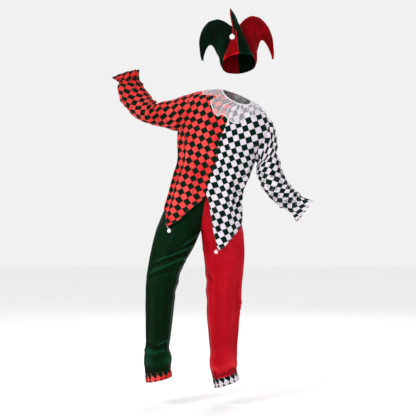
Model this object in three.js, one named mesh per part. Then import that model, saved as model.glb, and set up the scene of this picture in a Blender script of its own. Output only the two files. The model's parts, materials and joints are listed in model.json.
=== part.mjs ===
// A jester costume as a set of worn garments: a parti-coloured check tunic with a
// ruff collar, parti-coloured satin trousers and a three-horned velvet hat.
// Millimetres, +Z up. The origin is the middle of the neck opening. The wearer
// faces -Y, so "left" and "right" below are as the viewer in front sees them.
import * as THREE from 'three';

// Cloth and seams
const CLOTH = 2; // thickness of the tunic, trouser and hat cloth
const SHEER = 1.4; // thickness of the ruff and the neck binding
const SEAM = 0.3; // space between two pieces at a seam
const SLOPE_STEP = 0.004; // step used to find which way a surface faces
const MITRE_LIMIT = 2; // the longest corner, in cloth thicknesses

// Tunic
const BODY_COLUMNS = 9; // strips across one quarter of the tunic
const SHOULDER_ROWS = 3; // rows from the neck to the shoulder point
const ARMHOLE_ROWS = 10; // rows down one side of an armhole
const SKIRT_ROWS = 14; // rows from the armpit to the hem
const SHOULDER_POINT = 60; // distance down the spine of the shoulder point
const ARMPIT = { red: 260, white: 288 }; // distance down the spine of the armpits
const ARMPIT_MIDDLE = 274; // distance down the spine where the armpit row meets the middle seam
const TIP_SHARE = { red: 0.5, white: 0.311 }; // how far across its panel each hem point lies
const TIP_COLUMNS = { red: 5, white: 3 }; // strips between the middle seam and a hem point
const ARMHOLE_TURN = 32; // half the turn that an armhole takes out of the body, degrees
const BACK_DIP = 0.3; // how much the back of the neck rises for each unit of front dip

// Body sections down the spine. "down" is the distance from the neck, x and z the
// centre seam, lean the tilt of the section in degrees, red and white the half
// widths to the left and right, front and back the half depths, dip the drop of
// the middle front, swell how far the oval is filled out between front and side.
const BODY = [
  { down: 0, x: 1, z: 1, lean: -21, red: 82, white: 82, front: 76, back: 70, dip: 46, swell: 0 },
  { down: 26, x: -14, z: -20, lean: -18, red: 146, white: 146, front: 96, back: 92, dip: 36, swell: 0 },
  { down: 60, x: -30, z: -49, lean: -17, red: 206, white: 196, front: 112, back: 108, dip: 26, swell: 0.01 },
  { down: 144, x: -50, z: -132, lean: -17, red: 245, white: 236, front: 124, back: 120, dip: 10, swell: 0.02 },
  { down: 259, x: -88, z: -241, lean: -18, red: 217, white: 203, front: 128, back: 120, dip: 2, swell: 0.02 },
  { down: 327, x: -101, z: -306, lean: -16, red: 202, white: 190, front: 126, back: 116, dip: 0, swell: 0.02 },
  { down: 377, x: -109, z: -356, lean: -16, red: 191, white: 182, front: 122, back: 114, dip: 0, swell: 0.03 },
  { down: 416, x: -123, z: -393, lean: -15, red: 182, white: 178, front: 120, back: 116, dip: 0, swell: 0.04 },
  { down: 456, x: -138, z: -430, lean: -15, red: 181, white: 179, front: 122, back: 120, dip: 0, swell: 0.05 },
  { down: 507, x: -149, z: -480, lean: -14, red: 184, white: 183, front: 128, back: 126, dip: 0, swell: 0.06 },
  { down: 556, x: -156, z: -528, lean: -13, red: 189, white: 188, front: 133, back: 131, dip: 0, swell: 0.08 },
  { down: 608, x: -164, z: -580, lean: -12, red: 195, white: 195, front: 138, back: 138, dip: 0, swell: 0.11 },
  { down: 690, x: -181, z: -660, lean: -12, red: 200, white: 205, front: 144, back: 148, dip: 0, swell: 0.13 },
  { down: 780, x: -199, z: -748, lean: -12, red: 204, white: 216, front: 150, back: 158, dip: 0, swell: 0.14 },
];

// Hem line from the right side seam (turn 0) over the split at the middle front
// (turn 90) to the left side seam (turn 180). The back is cut the same.
const HEM = [
  { turn: 0, down: 585 },
  { turn: 12, down: 590 },
  { turn: 22, down: 600 },
  { turn: 28, down: 643 },
  { turn: 39, down: 683 },
  { turn: 51, down: 727 },
  { turn: 62, down: 772 },
  { turn: 71, down: 698 },
  { turn: 78, down: 629 },
  { turn: 85, down: 556 },
  { turn: 90, down: 523 },
  { turn: 95, down: 551 },
  { turn: 103, down: 583 },
  { turn: 110, down: 613 },
  { turn: 117, down: 650 },
  { turn: 126, down: 690 },
  { turn: 135, down: 712 },
  { turn: 144, down: 660 },
  { turn: 162, down: 620 },
  { turn: 180, down: 606 },
];

// Large soft folds of the tunic: ridges (rise above 0) and troughs (below 0).
// turn and drift give the middle of the fold at its top and how far it turns on
// its way down, spread its half width in degrees.
const BODY_FOLDS = [
  { turn: 164, drift: -14, top: 250, end: 700, spread: 8, rise: 7 },
  { turn: 148, drift: -6, top: 280, end: 720, spread: 7, rise: -5 },
  { turn: 134, drift: 2, top: 230, end: 700, spread: 8, rise: 6 },
  { turn: 117, drift: 4, top: 330, end: 690, spread: 8, rise: -4 },
  { turn: 104, drift: 2, top: 360, end: 640, spread: 7, rise: 4 },
  { turn: 74, drift: -6, top: 380, end: 780, spread: 7, rise: -4 },
  { turn: 60, drift: 0, top: 300, end: 780, spread: 8, rise: 6 },
  { turn: 42, drift: -4, top: 340, end: 760, spread: 8, rise: -5 },
  { turn: 24, drift: -4, top: 300, end: 720, spread: 8, rise: 6 },
  { turn: 4, drift: 2, top: 400, end: 650, spread: 8, rise: -4 },
  { turn: 202, drift: 8, top: 270, end: 700, spread: 8, rise: 6 },
  { turn: 222, drift: 4, top: 300, end: 720, spread: 8, rise: -5 },
  { turn: 240, drift: 0, top: 240, end: 700, spread: 9, rise: 7 },
  { turn: 262, drift: 2, top: 260, end: 640, spread: 8, rise: -5 },
  { turn: 284, drift: -2, top: 280, end: 640, spread: 8, rise: 5 },
  { turn: 304, drift: 2, top: 260, end: 760, spread: 9, rise: -5 },
  { turn: 324, drift: 2, top: 320, end: 740, spread: 8, rise: 6 },
  { turn: 344, drift: -4, top: 300, end: 700, spread: 8, rise: -4 },
];
const FOLD_FADE = 60; // distance over which a fold grows out of the flat cloth

// Sleeves
const SLEEVE_ROWS = 12; // rings from the armhole to the wrist gather
const FRILL_ROWS = 3; // rings from the wrist gather to the frill rim
const FRILL_WAVES = 9; // waves of one wrist frill
const ARMHOLE_BLEND = 0.3; // part of the sleeve that eases from the armhole to its own round
const CREASE_START = 0.1; // part of the sleeve over which its creases grow
const FRILL_LENGTH = 0.2; // how far t runs past the wrist gather to the frill rim

// Rings down the raised left sleeve. t runs from the armhole (0) to the frill rim,
// lean is the way its upper edge faces in degrees, across and deep the half sizes,
// wave the height of the frill waves.
const SLEEVE_RED = [
  { t: 0, x: -262, y: 0, z: -83, lean: 71, across: 92, deep: 66, wave: 0 },
  { t: 0.13, x: -316, y: -5, z: -90, lean: 76, across: 75, deep: 68, wave: 0 },
  { t: 0.26, x: -371, y: -15, z: -91, lean: 72, across: 64, deep: 64, wave: 0 },
  { t: 0.4, x: -423, y: -32, z: -86, lean: 56, across: 57, deep: 62, wave: 0 },
  { t: 0.52, x: -466, y: -48, z: -60, lean: 30, across: 64, deep: 64, wave: 0 },
  { t: 0.64, x: -493, y: -66, z: -26, lean: 14, across: 70, deep: 64, wave: 0 },
  { t: 0.76, x: -512, y: -86, z: 4, lean: 8, across: 69, deep: 60, wave: 0 },
  { t: 0.88, x: -525, y: -106, z: 36, lean: 3, across: 62, deep: 55, wave: 0 },
  { t: 1, x: -530, y: -122, z: 62, lean: 8, across: 47, deep: 44, wave: 3 },
  { t: 1.1, x: -537, y: -131, z: 78, lean: 14, across: 52, deep: 49, wave: 6 },
  { t: 1.2, x: -546, y: -140, z: 96, lean: 17, across: 62, deep: 57, wave: 9 },
];

// Rings down the lowered right sleeve.
const SLEEVE_WHITE = [
  { t: 0, x: 126, y: 0, z: -216, lean: 74, across: 114, deep: 64, wave: 0 },
  { t: 0.13, x: 146, y: -5, z: -244, lean: 66, across: 101, deep: 62, wave: 0 },
  { t: 0.26, x: 150, y: -10, z: -283, lean: 53, across: 83, deep: 64, wave: 0 },
  { t: 0.4, x: 153, y: -21, z: -326, lean: 38, across: 67, deep: 63, wave: 0 },
  { t: 0.52, x: 158, y: -34, z: -372, lean: 26, across: 60, deep: 62, wave: 0 },
  { t: 0.64, x: 179, y: -52, z: -423, lean: 20, across: 61, deep: 62, wave: 0 },
  { t: 0.76, x: 213, y: -76, z: -478, lean: 29, across: 56, deep: 58, wave: 0 },
  { t: 0.88, x: 250, y: -100, z: -512, lean: 43, across: 53, deep: 52, wave: 0 },
  { t: 1, x: 290, y: -121, z: -545, lean: 57, across: 43, deep: 42, wave: 3 },
  { t: 1.1, x: 308, y: -130, z: -560, lean: 56, across: 49, deep: 47, wave: 6 },
  { t: 1.2, x: 328, y: -139, z: -578, lean: 53, across: 58, deep: 54, wave: 9 },
];

// Creases round the sleeves: ridges and troughs that follow a ring. side is the
// turn where the crease is deepest (0 upper edge, 90 front, 180 lower edge).
const SLEEVE_CREASES = [
  { t: 0.08, side: 60, width: 0.04, rise: 4 },
  { t: 0.2, side: 150, width: 0.04, rise: -4 },
  { t: 0.3, side: 40, width: 0.035, rise: 4 },
  { t: 0.4, side: 10, width: 0.035, rise: -8 },
  { t: 0.49, side: 340, width: 0.035, rise: 5 },
  { t: 0.58, side: 80, width: 0.035, rise: -4 },
  { t: 0.68, side: 200, width: 0.04, rise: 5 },
  { t: 0.8, side: 120, width: 0.04, rise: -4 },
  { t: 0.9, side: 250, width: 0.04, rise: 4 },
];

// Ruff collar and neck binding
const RUFF_ROWS = 5; // rows from the neck to the ruff edge
const RUFF_LIFT = 2.4; // height of the ruff's upper side above the tunic beside the neck
const RUFF_WAVE = 9; // height of a flute at the ruff edge
const BINDING_ROLL = 3.5; // half the width of the rolled neck binding
const BINDING_COLUMNS = 28; // strips round the neck binding
const BINDING_SIDES = 6; // sides of the rolled neck binding

// Edge of the ruff on the tunic and how far it stands up there (1 on a flute, 0
// in the hollow between two flutes), round the neck. Its strips run to these turns.
const RUFF_EDGE = [
  { turn: 0, down: 36, flute: 0.3 },
  { turn: 10, down: 37, flute: 1 },
  { turn: 19, down: 40, flute: 0.5 },
  { turn: 27, down: 41, flute: 0.7 },
  { turn: 35, down: 43, flute: 0 },
  { turn: 43, down: 53, flute: 1 },
  { turn: 51, down: 60, flute: 0.3 },
  { turn: 58, down: 71, flute: 0.9 },
  { turn: 64, down: 78, flute: 0.5 },
  { turn: 69, down: 90, flute: 0 },
  { turn: 73, down: 110, flute: 0.5 },
  { turn: 77, down: 134, flute: 1 },
  { turn: 83, down: 137, flute: 0.8 },
  { turn: 89, down: 129, flute: 0.6 },
  { turn: 94, down: 113, flute: 0.3 },
  { turn: 98, down: 107, flute: 0 },
  { turn: 102, down: 127, flute: 0.8 },
  { turn: 108, down: 110, flute: 1 },
  { turn: 115, down: 80, flute: 1 },
  { turn: 122, down: 52, flute: 0.6 },
  { turn: 129, down: 28, flute: 0.2 },
  { turn: 135, down: 18, flute: 0 },
  { turn: 141, down: 20, flute: 0.2 },
  { turn: 147, down: 42, flute: 0.8 },
  { turn: 155, down: 38, flute: 1 },
  { turn: 166, down: 36, flute: 0.7 },
  { turn: 179, down: 37, flute: 0.4 },
  { turn: 190, down: 36, flute: 0 },
  { turn: 197, down: 42, flute: 0.5 },
  { turn: 204, down: 50, flute: 1 },
  { turn: 211, down: 50, flute: 0.5 },
  { turn: 218, down: 54, flute: 0 },
  { turn: 225, down: 66, flute: 0.6 },
  { turn: 232, down: 80, flute: 1 },
  { turn: 239, down: 78, flute: 0.5 },
  { turn: 246, down: 78, flute: 0 },
  { turn: 253, down: 88, flute: 0.6 },
  { turn: 260, down: 97, flute: 1 },
  { turn: 267, down: 90, flute: 0.5 },
  { turn: 274, down: 84, flute: 0 },
  { turn: 281, down: 88, flute: 0.5 },
  { turn: 288, down: 94, flute: 1 },
  { turn: 295, down: 84, flute: 0.5 },
  { turn: 302, down: 76, flute: 0 },
  { turn: 309, down: 72, flute: 0.5 },
  { turn: 316, down: 68, flute: 1 },
  { turn: 324, down: 58, flute: 0.5 },
  { turn: 332, down: 46, flute: 0 },
  { turn: 340, down: 44, flute: 0.5 },
  { turn: 348, down: 42, flute: 1 },
  { turn: 360, down: 36, flute: 0.3 },
];

// Trousers
const LEG_COLUMNS = 8; // strips across one leg panel
const HIP_ROWS = 9; // rows from the waist to the crotch
const LEG_ROWS = 17; // rows from the crotch to the ankle
const BAND_COLUMNS = 32; // strips round one ankle band
const BAND_ROWS = 3; // rows down one ankle band
const BAND_GATHERS = 11; // gathers round one ankle band
const BAND_GATHER_HEIGHT = 2.2; // height of an ankle gather
const BAND_GATHER_START = 0.5; // part of the band over which its gathers grow

// Hip sections from the waist (t 0) to the crotch (t 1). x and z are the middle
// seam, green and red the half widths to the left and right, split how far the
// two legs have parted (0.5 at the crotch).
const HIPS = [
  { t: 0, x: -127, z: -410, lean: -15, green: 150, red: 150, split: 0, front: 106, back: 100 },
  { t: 0.22, x: -143, z: -465, lean: -14, green: 167, red: 165, split: 0.05, front: 114, back: 112 },
  { t: 0.45, x: -156, z: -524, lean: -13, green: 178, red: 178, split: 0.13, front: 119, back: 123.2 },
  { t: 0.65, x: -165, z: -577, lean: -12, green: 188, red: 188, split: 0.24, front: 122, back: 127 },
  { t: 0.83, x: -172, z: -624, lean: -8, green: 203, red: 203, split: 0.37, front: 119, back: 122 },
  { t: 1, x: -178, z: -674, lean: -3, green: 222, red: 213, split: 0.5, front: 116, back: 120 },
];

// Leg sections below the crotch, down to the ankle seam.
const LEG_GREEN = [
  { t: 1.15, x: -318, y: -12, z: -749, lean: -7, across: 101, front: 106, back: 108 },
  { t: 1.3, x: -347, y: -25, z: -829, lean: -5, across: 88, front: 95, back: 96 },
  { t: 1.45, x: -370, y: -38, z: -918, lean: -5, across: 78, front: 86, back: 86 },
  { t: 1.6, x: -378, y: -36, z: -1002, lean: -3, across: 72, front: 80, back: 82 },
  { t: 1.75, x: -384, y: -28, z: -1097, lean: -2, across: 67, front: 76, back: 80 },
  { t: 1.86, x: -389, y: -20, z: -1188, lean: 0, across: 62, front: 72, back: 76 },
  { t: 1.93, x: -393, y: -15, z: -1260, lean: 1, across: 57, front: 70, back: 72 },
  { t: 1.97, x: -394, y: -12, z: -1320, lean: 5, across: 62, front: 72, back: 74 },
  { t: 2, x: -392, y: -10, z: -1374, lean: 9, across: 64, front: 70, back: 72 },
];
const LEG_RED = [
  { t: 1.15, x: -64, y: -2, z: -775, lean: -3, across: 103, front: 108, back: 110 },
  { t: 1.3, x: -61, y: -5, z: -870, lean: -1, across: 95, front: 98, back: 100 },
  { t: 1.45, x: -63, y: -8, z: -969, lean: 0, across: 87, front: 90, back: 90 },
  { t: 1.6, x: -65, y: -8, z: -1059, lean: 0, across: 84, front: 84, back: 86 },
  { t: 1.75, x: -67, y: -4, z: -1120, lean: 0, across: 79, front: 80, back: 84 },
  { t: 1.86, x: -66, y: 1, z: -1205, lean: 0, across: 73, front: 76, back: 80 },
  { t: 1.93, x: -66, y: 5, z: -1280, lean: 2, across: 66, front: 72, back: 76 },
  { t: 1.97, x: -64, y: 7, z: -1342, lean: 8, across: 61, front: 72, back: 74 },
  { t: 2, x: -59, y: 8, z: -1397, lean: 16, across: 62, front: 70, back: 72 },
];
const BAND_GREEN_LEG = [
  { t: 0, x: -392, y: -10, z: -1374.4, lean: 9, across: 64, front: 70, back: 72 },
  { t: 0.5, x: -390, y: -10, z: -1396, lean: 11, across: 66, front: 72, back: 74 },
  { t: 1, x: -388, y: -10, z: -1415, lean: 12, across: 65, front: 71, back: 73 },
];
const BAND_RED_LEG = [
  { t: 0, x: -59, y: 8, z: -1397.4, lean: 16, across: 62, front: 70, back: 72 },
  { t: 0.5, x: -54, y: 8, z: -1419, lean: 17.5, across: 65, front: 72, back: 74 },
  { t: 1, x: -50, y: 8, z: -1438, lean: 18, across: 65, front: 71, back: 73 },
];

// Large folds of the trouser legs, as for the tunic. turn 0 is the inner leg, 90
// the front, 180 the outer leg.
const LEG_FOLDS = [
  { turn: 96, drift: 8, top: 0.6, end: 1.9, spread: 9, rise: 6 },
  { turn: 62, drift: -6, top: 0.8, end: 1.7, spread: 9, rise: -5 },
  { turn: 130, drift: 6, top: 0.5, end: 1.8, spread: 9, rise: -4 },
  { turn: 158, drift: 0, top: 0.7, end: 2, spread: 9, rise: 4 },
  { turn: 34, drift: 8, top: 1.1, end: 1.9, spread: 9, rise: 4 },
  { turn: 206, drift: 4, top: 0.5, end: 1.8, spread: 9, rise: 5 },
  { turn: 236, drift: 2, top: 0.6, end: 1.9, spread: 9, rise: -5 },
  { turn: 262, drift: -4, top: 0.7, end: 1.8, spread: 9, rise: 5 },
  { turn: 300, drift: -4, top: 1, end: 1.9, spread: 10, rise: -4 },
];
const LEG_FOLD_FADE = 0.25; // part of t over which a leg fold grows
const HIP_PLAIN = 0.9; // the hips stay plain down to this t
const HIP_BLEND = 0.2; // part of t over which the leg folds start below the hips

// Creases across the legs at the knee and where the cloth breaks on the foot.
const LEG_CREASES = [
  { t: 1.38, side: 60, width: 0.03, rise: -5 },
  { t: 1.46, side: 40, width: 0.03, rise: 5 },
  { t: 1.55, side: 300, width: 0.03, rise: -5 },
  { t: 1.93, side: 30, width: 0.02, rise: -5 },
  { t: 1.965, side: 330, width: 0.02, rise: 5 },
];

// Hat. Its own frame has the brim centre at HAT_PLACE and leans HAT_ROLL degrees.
const HAT_PLACE = { x: 12, y: 0, z: 160 };
const HAT_ROLL = -5.5;
const LEFT_HORN = -120; // turn of the horn to the left, from the front
const RIGHT_HORN = 120; // turn of the horn to the right, from the front
const BRIM_HALF_WIDTH = 84; // half width of the brim oval
const BRIM_HALF_DEPTH = 100; // half depth of the brim oval
const BRIM_TILT = 38; // rise of the brim at the middle front, and its drop behind
const CROWN_TOP = 172; // height at which the six gores meet
const VALLEY_DOME = 0.8; // 0 for a valley that runs straight to the crown, 1 for a full dome
const GORE_HALF_TURN = 60; // turn from the middle of a horn to the valley beside it
const GORE_COLUMNS = 6; // strips across one gore
const GORE_ROWS = 17; // rows from the brim to the tip of a gore
const CROWN_PART = 0.34; // part of a gore that lies below the crown top
const VELVET_SEAM = 0.22; // how far each gore stands back from a seam
const TIP_SHARE_WALL = 0.38; // the most of a horn's height that one seam wall takes

// Side horn seen in its own plane. out and high are the distance from the hat axis
// and the height above the brim centre, half the half thickness of the horn.
const HORN_SIDE = [
  { t: 0, top_out: 0, top_high: 0, under_out: 92, under_high: -19, half: 62 },
  { t: 0.17, top_out: 0, top_high: 0, under_out: 102, under_high: 30, half: 56 },
  { t: 0.34, top_out: 0, top_high: 172, under_out: 124, under_high: 78, half: 42 },
  { t: 0.42, top_out: 34, top_high: 204, under_out: 133, under_high: 100, half: 34 },
  { t: 0.5, top_out: 66, top_high: 228, under_out: 142, under_high: 113, half: 29 },
  { t: 0.58, top_out: 104, top_high: 241, under_out: 150, under_high: 117, half: 27 },
  { t: 0.66, top_out: 142, top_high: 236, under_out: 160, under_high: 115, half: 26 },
  { t: 0.74, top_out: 176, top_high: 214, under_out: 170, under_high: 106, half: 24 },
  { t: 0.82, top_out: 203, top_high: 176, under_out: 181, under_high: 90, half: 20 },
  { t: 0.9, top_out: 217, top_high: 122, under_out: 191, under_high: 68, half: 14 },
  { t: 0.96, top_out: 217, top_high: 70, under_out: 198, under_high: 48, half: 8 },
  { t: 1, top_out: 212, top_high: 34, under_out: 201, under_high: 30, half: 2.6 },
];

// Front horn: it stands up higher and folds forward over itself.
const HORN_FRONT = [
  { t: 0, top_out: 0, top_high: 0, under_out: 100, under_high: 38, half: 48 },
  { t: 0.17, top_out: 0, top_high: 0, under_out: 92, under_high: 84, half: 42 },
  { t: 0.34, top_out: 0, top_high: 172, under_out: 88, under_high: 128, half: 30 },
  { t: 0.42, top_out: 14, top_high: 212, under_out: 90, under_high: 150, half: 22 },
  { t: 0.5, top_out: 34, top_high: 244, under_out: 96, under_high: 166, half: 17 },
  { t: 0.58, top_out: 62, top_high: 264, under_out: 104, under_high: 176, half: 14 },
  { t: 0.66, top_out: 94, top_high: 268, under_out: 112, under_high: 180, half: 13 },
  { t: 0.74, top_out: 126, top_high: 254, under_out: 120, under_high: 176, half: 13 },
  { t: 0.82, top_out: 149, top_high: 224, under_out: 128, under_high: 166, half: 12 },
  { t: 0.9, top_out: 158, top_high: 184, under_out: 135, under_high: 150, half: 10 },
  { t: 0.96, top_out: 157, top_high: 150, under_out: 139, under_high: 134, half: 6 },
  { t: 1, top_out: 152, top_high: 126, under_out: 141, under_high: 122, half: 2.6 },
];

// How each horn bends out of its own plane. top and under are how far its two
// seams lie to the right, left the share of the half thickness that its left gore
// keeps, and lift how much higher it hangs than the table says.
const BEND_FRONT = [
  { t: 0, top: 0, under: 0, left: 0.95, lift: 0 },
  { t: 0.3, top: 0, under: 0, left: 0.7, lift: 0 },
  { t: 0.42, top: -4, under: 0, left: 0.6, lift: 0 },
  { t: 0.54, top: -13, under: -3, left: 0.62, lift: 0 },
  { t: 0.66, top: -21, under: -6, left: 0.58, lift: 0 },
  { t: 0.8, top: -22, under: -8, left: 0.56, lift: 0 },
  { t: 0.92, top: -17, under: -10, left: 0.6, lift: 0 },
  { t: 1, top: -13, under: -12, left: 1, lift: 0 },
];
const BEND_LEFT = [
  { t: 0.6, top: 0, under: 0, left: 1, lift: 0 },
  { t: 0.8, top: 0, under: 0, left: 1, lift: 5 },
  { t: 1, top: 0, under: 0, left: 1, lift: 14 },
];
const BEND_RIGHT = [
  { t: 0.6, top: 0, under: 0, left: 1, lift: 0 },
  { t: 0.8, top: 0, under: 0, left: 1, lift: -5 },
  { t: 1, top: 0, under: 0, left: 1, lift: -12 },
];

// Baubles and their threads
const BAUBLES = {
  hat_bauble: { x: -25, y: -161, z: 273, size: 25 },
  hem_bauble_red: { x: -333, y: -122, z: -672, size: 19 },
  hem_bauble_white: { x: -103, y: -139, z: -775, size: 18 },
};
const BAUBLE_COLUMNS = 12; // strips round a bauble
const BAUBLE_ROWS = 8; // rows from pole to pole of a bauble
const THREAD_HALF = 0.7; // half the thickness of a bauble thread
const THREAD_SIDES = 6; // sides of a bauble thread
const TIP_DROP = 0.4; // how far under the hat tip its thread starts
const THREAD_CLEAR = 0.3; // space between a thread and what it joins

// Colours and how rough each cloth is
const CORAL = 0xd8303c;
const CHECK_WHITE = 0xe8e2e6;
const ORGANZA = 0xf2f0f4;
const BOTTLE_GREEN = 0x04301c;
const SATIN_RED = 0xb01028;
const VELVET_GREEN = 0x06281a;
const VELVET_RED = 0x7c0412;
const BAUBLE_WHITE = 0xf0eff2;
const COTTON = 0.8;
const SATIN = 0.4;
const VELVET = 0.9;
const ORGANZA_SHEEN = 0.5;
const BAUBLE_SHINE = 0.35;

const FULL_TURN = 360;
const HALF_TURN = 180;
const QUARTER_TURN = 90;

function cosine(degrees) {
  return Math.cos(THREE.MathUtils.degToRad(degrees));
}

function sine(degrees) {
  return Math.sin(THREE.MathUtils.degToRad(degrees));
}

function mix(from, to, part) {
  return from + (to - from) * part;
}

function ease(part) {
  const clamped = Math.min(Math.max(part, 0), 1);
  return clamped * clamped * (3 - 2 * clamped);
}

// Slope of a column at every row, so that the curve through it never overshoots.
function steadySlopes(at, values) {
  const last = at.length - 1;
  const rises = [];
  for (let i = 0; i < last; i += 1) {
    rises.push((values[i + 1] - values[i]) / (at[i + 1] - at[i]));
  }
  const slopes = [rises[0]];
  for (let i = 1; i < last; i += 1) {
    const before = rises[i - 1];
    const after = rises[i];
    if (before * after <= 0) {
      slopes.push(0);
      continue;
    }
    const gapBefore = at[i] - at[i - 1];
    const gapAfter = at[i + 1] - at[i];
    const weightBefore = 2 * gapAfter + gapBefore;
    const weightAfter = gapAfter + 2 * gapBefore;
    const weights = weightBefore + weightAfter;
    slopes.push(weights / (weightBefore / before + weightAfter / after));
  }
  slopes.push(rises[last - 1]);
  return slopes;
}

// A reader that gives every column of a table at any place between its rows.
function tableReader(table, key) {
  const at = table.map((row) => row[key]);
  const columns = Object.keys(table[0]).filter((name) => name !== key);
  const slopes = {};
  for (const name of columns) {
    slopes[name] = steadySlopes(at, table.map((row) => row[name]));
  }
  return function read(place) {
    const inside = Math.min(Math.max(place, at[0]), at[at.length - 1]);
    let i = 0;
    while (i < at.length - 2 && inside > at[i + 1]) {
      i += 1;
    }
    const gap = at[i + 1] - at[i];
    const part = (inside - at[i]) / gap;
    const rest = 1 - part;
    const result = {};
    for (const name of columns) {
      const start = table[i][name] * (1 + 2 * part) * rest * rest;
      const end = table[i + 1][name] * part * part * (3 - 2 * part);
      const startSlope = slopes[name][i] * gap * part * rest * rest;
      const endSlope = slopes[name][i + 1] * gap * part * part * rest;
      result[name] = start + end + startSlope - endSlope;
    }
    return result;
  };
}

// Smallest turn from one direction to another, in degrees.
function turnBetween(from, to) {
  const turn = (to - from) % FULL_TURN;
  if (turn > HALF_TURN) {
    return turn - FULL_TURN;
  }
  if (turn < -HALF_TURN) {
    return turn + FULL_TURN;
  }
  return turn;
}

// Height of all long folds of a table at one place of a surface.
function foldHeight(folds, turn, down, fade) {
  let height = 0;
  for (const fold of folds) {
    const part = (down - fold.top) / (fold.end - fold.top);
    const middle = fold.turn + fold.drift * Math.min(Math.max(part, 0), 1);
    const aside = turnBetween(middle, turn) / fold.spread;
    const grown = ease((down - fold.top) / fade);
    const gone = ease((fold.end + fade - down) / fade);
    height += fold.rise * Math.exp(-aside * aside) * grown * gone;
  }
  return height;
}

// Height of all ring creases of a table at one place of a tube.
function creaseHeight(creases, turn, t) {
  let height = 0;
  for (const crease of creases) {
    const along = (t - crease.t) / crease.width;
    const round = 0.5 + 0.5 * cosine(turn - crease.side);
    height += crease.rise * Math.exp(-along * along) * round * round;
  }
  return height;
}

// Point of an oval section that stands square to a leaning across direction.
function ovalPoint(place, turn, half, depth) {
  const fill = 1 + (place.swell ?? 0) * sine(2 * turn) ** 2;
  const across = half * cosine(turn) * fill;
  const x = place.x + across * cosine(place.lean);
  const y = (place.y ?? 0) - depth * sine(turn) * fill;
  const z = place.z + across * sine(place.lean);
  return new THREE.Vector3(x, y, z);
}

// Tunic body
const readBody = tableReader(BODY, 'down');
const readHem = tableReader(HEM, 'turn');

function bodyPoint(turn, down) {
  const row = readBody(down);
  const fold = foldHeight(BODY_FOLDS, turn, down, FOLD_FADE);
  const half = (cosine(turn) < 0 ? row.red : row.white) + fold;
  const depth = (sine(turn) > 0 ? row.front : row.back) + fold;
  const point = ovalPoint(row, turn, half, depth);
  point.z -= row.dip * sine(turn) * (sine(turn) > 0 ? 1 : BACK_DIP);
  return point;
}

function hemDown(turn) {
  const folded = turn > HALF_TURN ? FULL_TURN - turn : turn;
  return readHem(folded).down;
}

// Place on the tunic body of the armhole edge. ring 0 is the shoulder point, 90
// the front, 180 the armpit, 270 the back.
function armholePlace(side, ring) {
  const middle = (SHOULDER_POINT + ARMPIT[side]) / 2;
  const down = middle - (ARMPIT[side] - middle) * cosine(ring);
  const turned = ARMHOLE_TURN * sine(ring);
  const turn = side === 'red' ? HALF_TURN - turned : turned;
  return { turn, down };
}

// Sleeves
function sleeveSurface(side, table) {
  const read = tableReader(table, 't');
  const first = read(0);
  return function sleevePoint(ring, place) {
    const t = Math.max(place, 0);
    const row = read(t);
    const crease = creaseHeight(SLEEVE_CREASES, ring, t);
    const wave = row.wave * cosine(ring * FRILL_WAVES);
    const grown = crease * ease(t / CREASE_START) + wave;
    const point = ovalPoint(row, ring, row.across + grown, row.deep + grown);
    const left = 1 - t / ARMHOLE_BLEND;
    if (left > 0) {
      const seam = armholePlace(side, ring);
      const edge = bodyPoint(seam.turn, seam.down);
      const own = ovalPoint(first, ring, first.across, first.deep);
      edge.sub(own);
      point.addScaledVector(edge, left * left * (3 - 2 * left));
    }
    return point;
  };
}

// Ruff collar: the tunic surface, moved out, down to the edge of the ruff.
const readRuff = tableReader(RUFF_EDGE, 'turn');

function ruffPoint(turn, part) {
  const inside = ((turn % FULL_TURN) + FULL_TURN) % FULL_TURN;
  const edge = readRuff(inside);
  const down = edge.down * part;
  const facing = surfaceFacing(bodyPoint, inside, down, 1, 0.5, 0.5);
  const lift = RUFF_LIFT + RUFF_WAVE * edge.flute * Math.sqrt(Math.max(part, 0));
  return bodyPoint(inside, down).addScaledVector(facing, lift);
}

// Rolled binding that lies against the neck edge of the tunic and the ruff.
function bindingPoint(turn, roll) {
  const edge = bodyPoint(turn, 0);
  const facing = surfaceFacing(bodyPoint, turn, 1, 1);
  const upward = edge.clone().sub(bodyPoint(turn, 2)).normalize();
  const middle = edge.addScaledVector(upward, BINDING_ROLL + SEAM);
  middle.addScaledVector(upward, BINDING_ROLL * cosine(roll));
  return middle.addScaledVector(facing, BINDING_ROLL * sine(roll));
}

// Trousers
const readHips = tableReader(HIPS, 't');

function legSurface(side, table) {
  const toward = side === 'green' ? -1 : 1;
  const crotch = hipLeg(1);
  const top = { t: 1, x: crotch.x, y: 0, z: crotch.z, lean: crotch.lean };
  top.across = crotch.across;
  top.front = crotch.front;
  top.back = crotch.back;
  const readLeg = tableReader([top, ...table], 't');

  // Section of one leg where both are still joined at the middle seam.
  function hipLeg(t) {
    const row = readHips(t);
    const half = row[side];
    const moved = half * row.split * toward;
    const x = row.x + moved * cosine(row.lean);
    const z = row.z + moved * sine(row.lean);
    const across = half * (1 - row.split);
    return { x, y: 0, z, lean: row.lean, across, front: row.front, back: row.back };
  }

  // Turn at which a leg panel starts: at the middle seam, or at the inner leg.
  function start(t) {
    if (t >= 1) {
      return 0;
    }
    const split = readHips(t).split;
    return THREE.MathUtils.radToDeg(Math.acos(Math.min(split / (1 - split), 1)));
  }

  // turn 0 is the inner leg, 90 the front, 180 the outer leg, 270 the back
  function point(turn, t) {
    const row = t < 1 ? hipLeg(t) : readLeg(t);
    const fold = foldHeight(LEG_FOLDS, turn, t, LEG_FOLD_FADE);
    const near = ease((t - HIP_PLAIN) / HIP_BLEND);
    const grown = fold * near + creaseHeight(LEG_CREASES, turn, t);
    const depth = (sine(turn) > 0 ? row.front : row.back) + grown;
    const around = toward < 0 ? turn : HALF_TURN - turn;
    return ovalPoint(row, around, row.across + grown, depth);
  }
  return { start, point };
}

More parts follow.
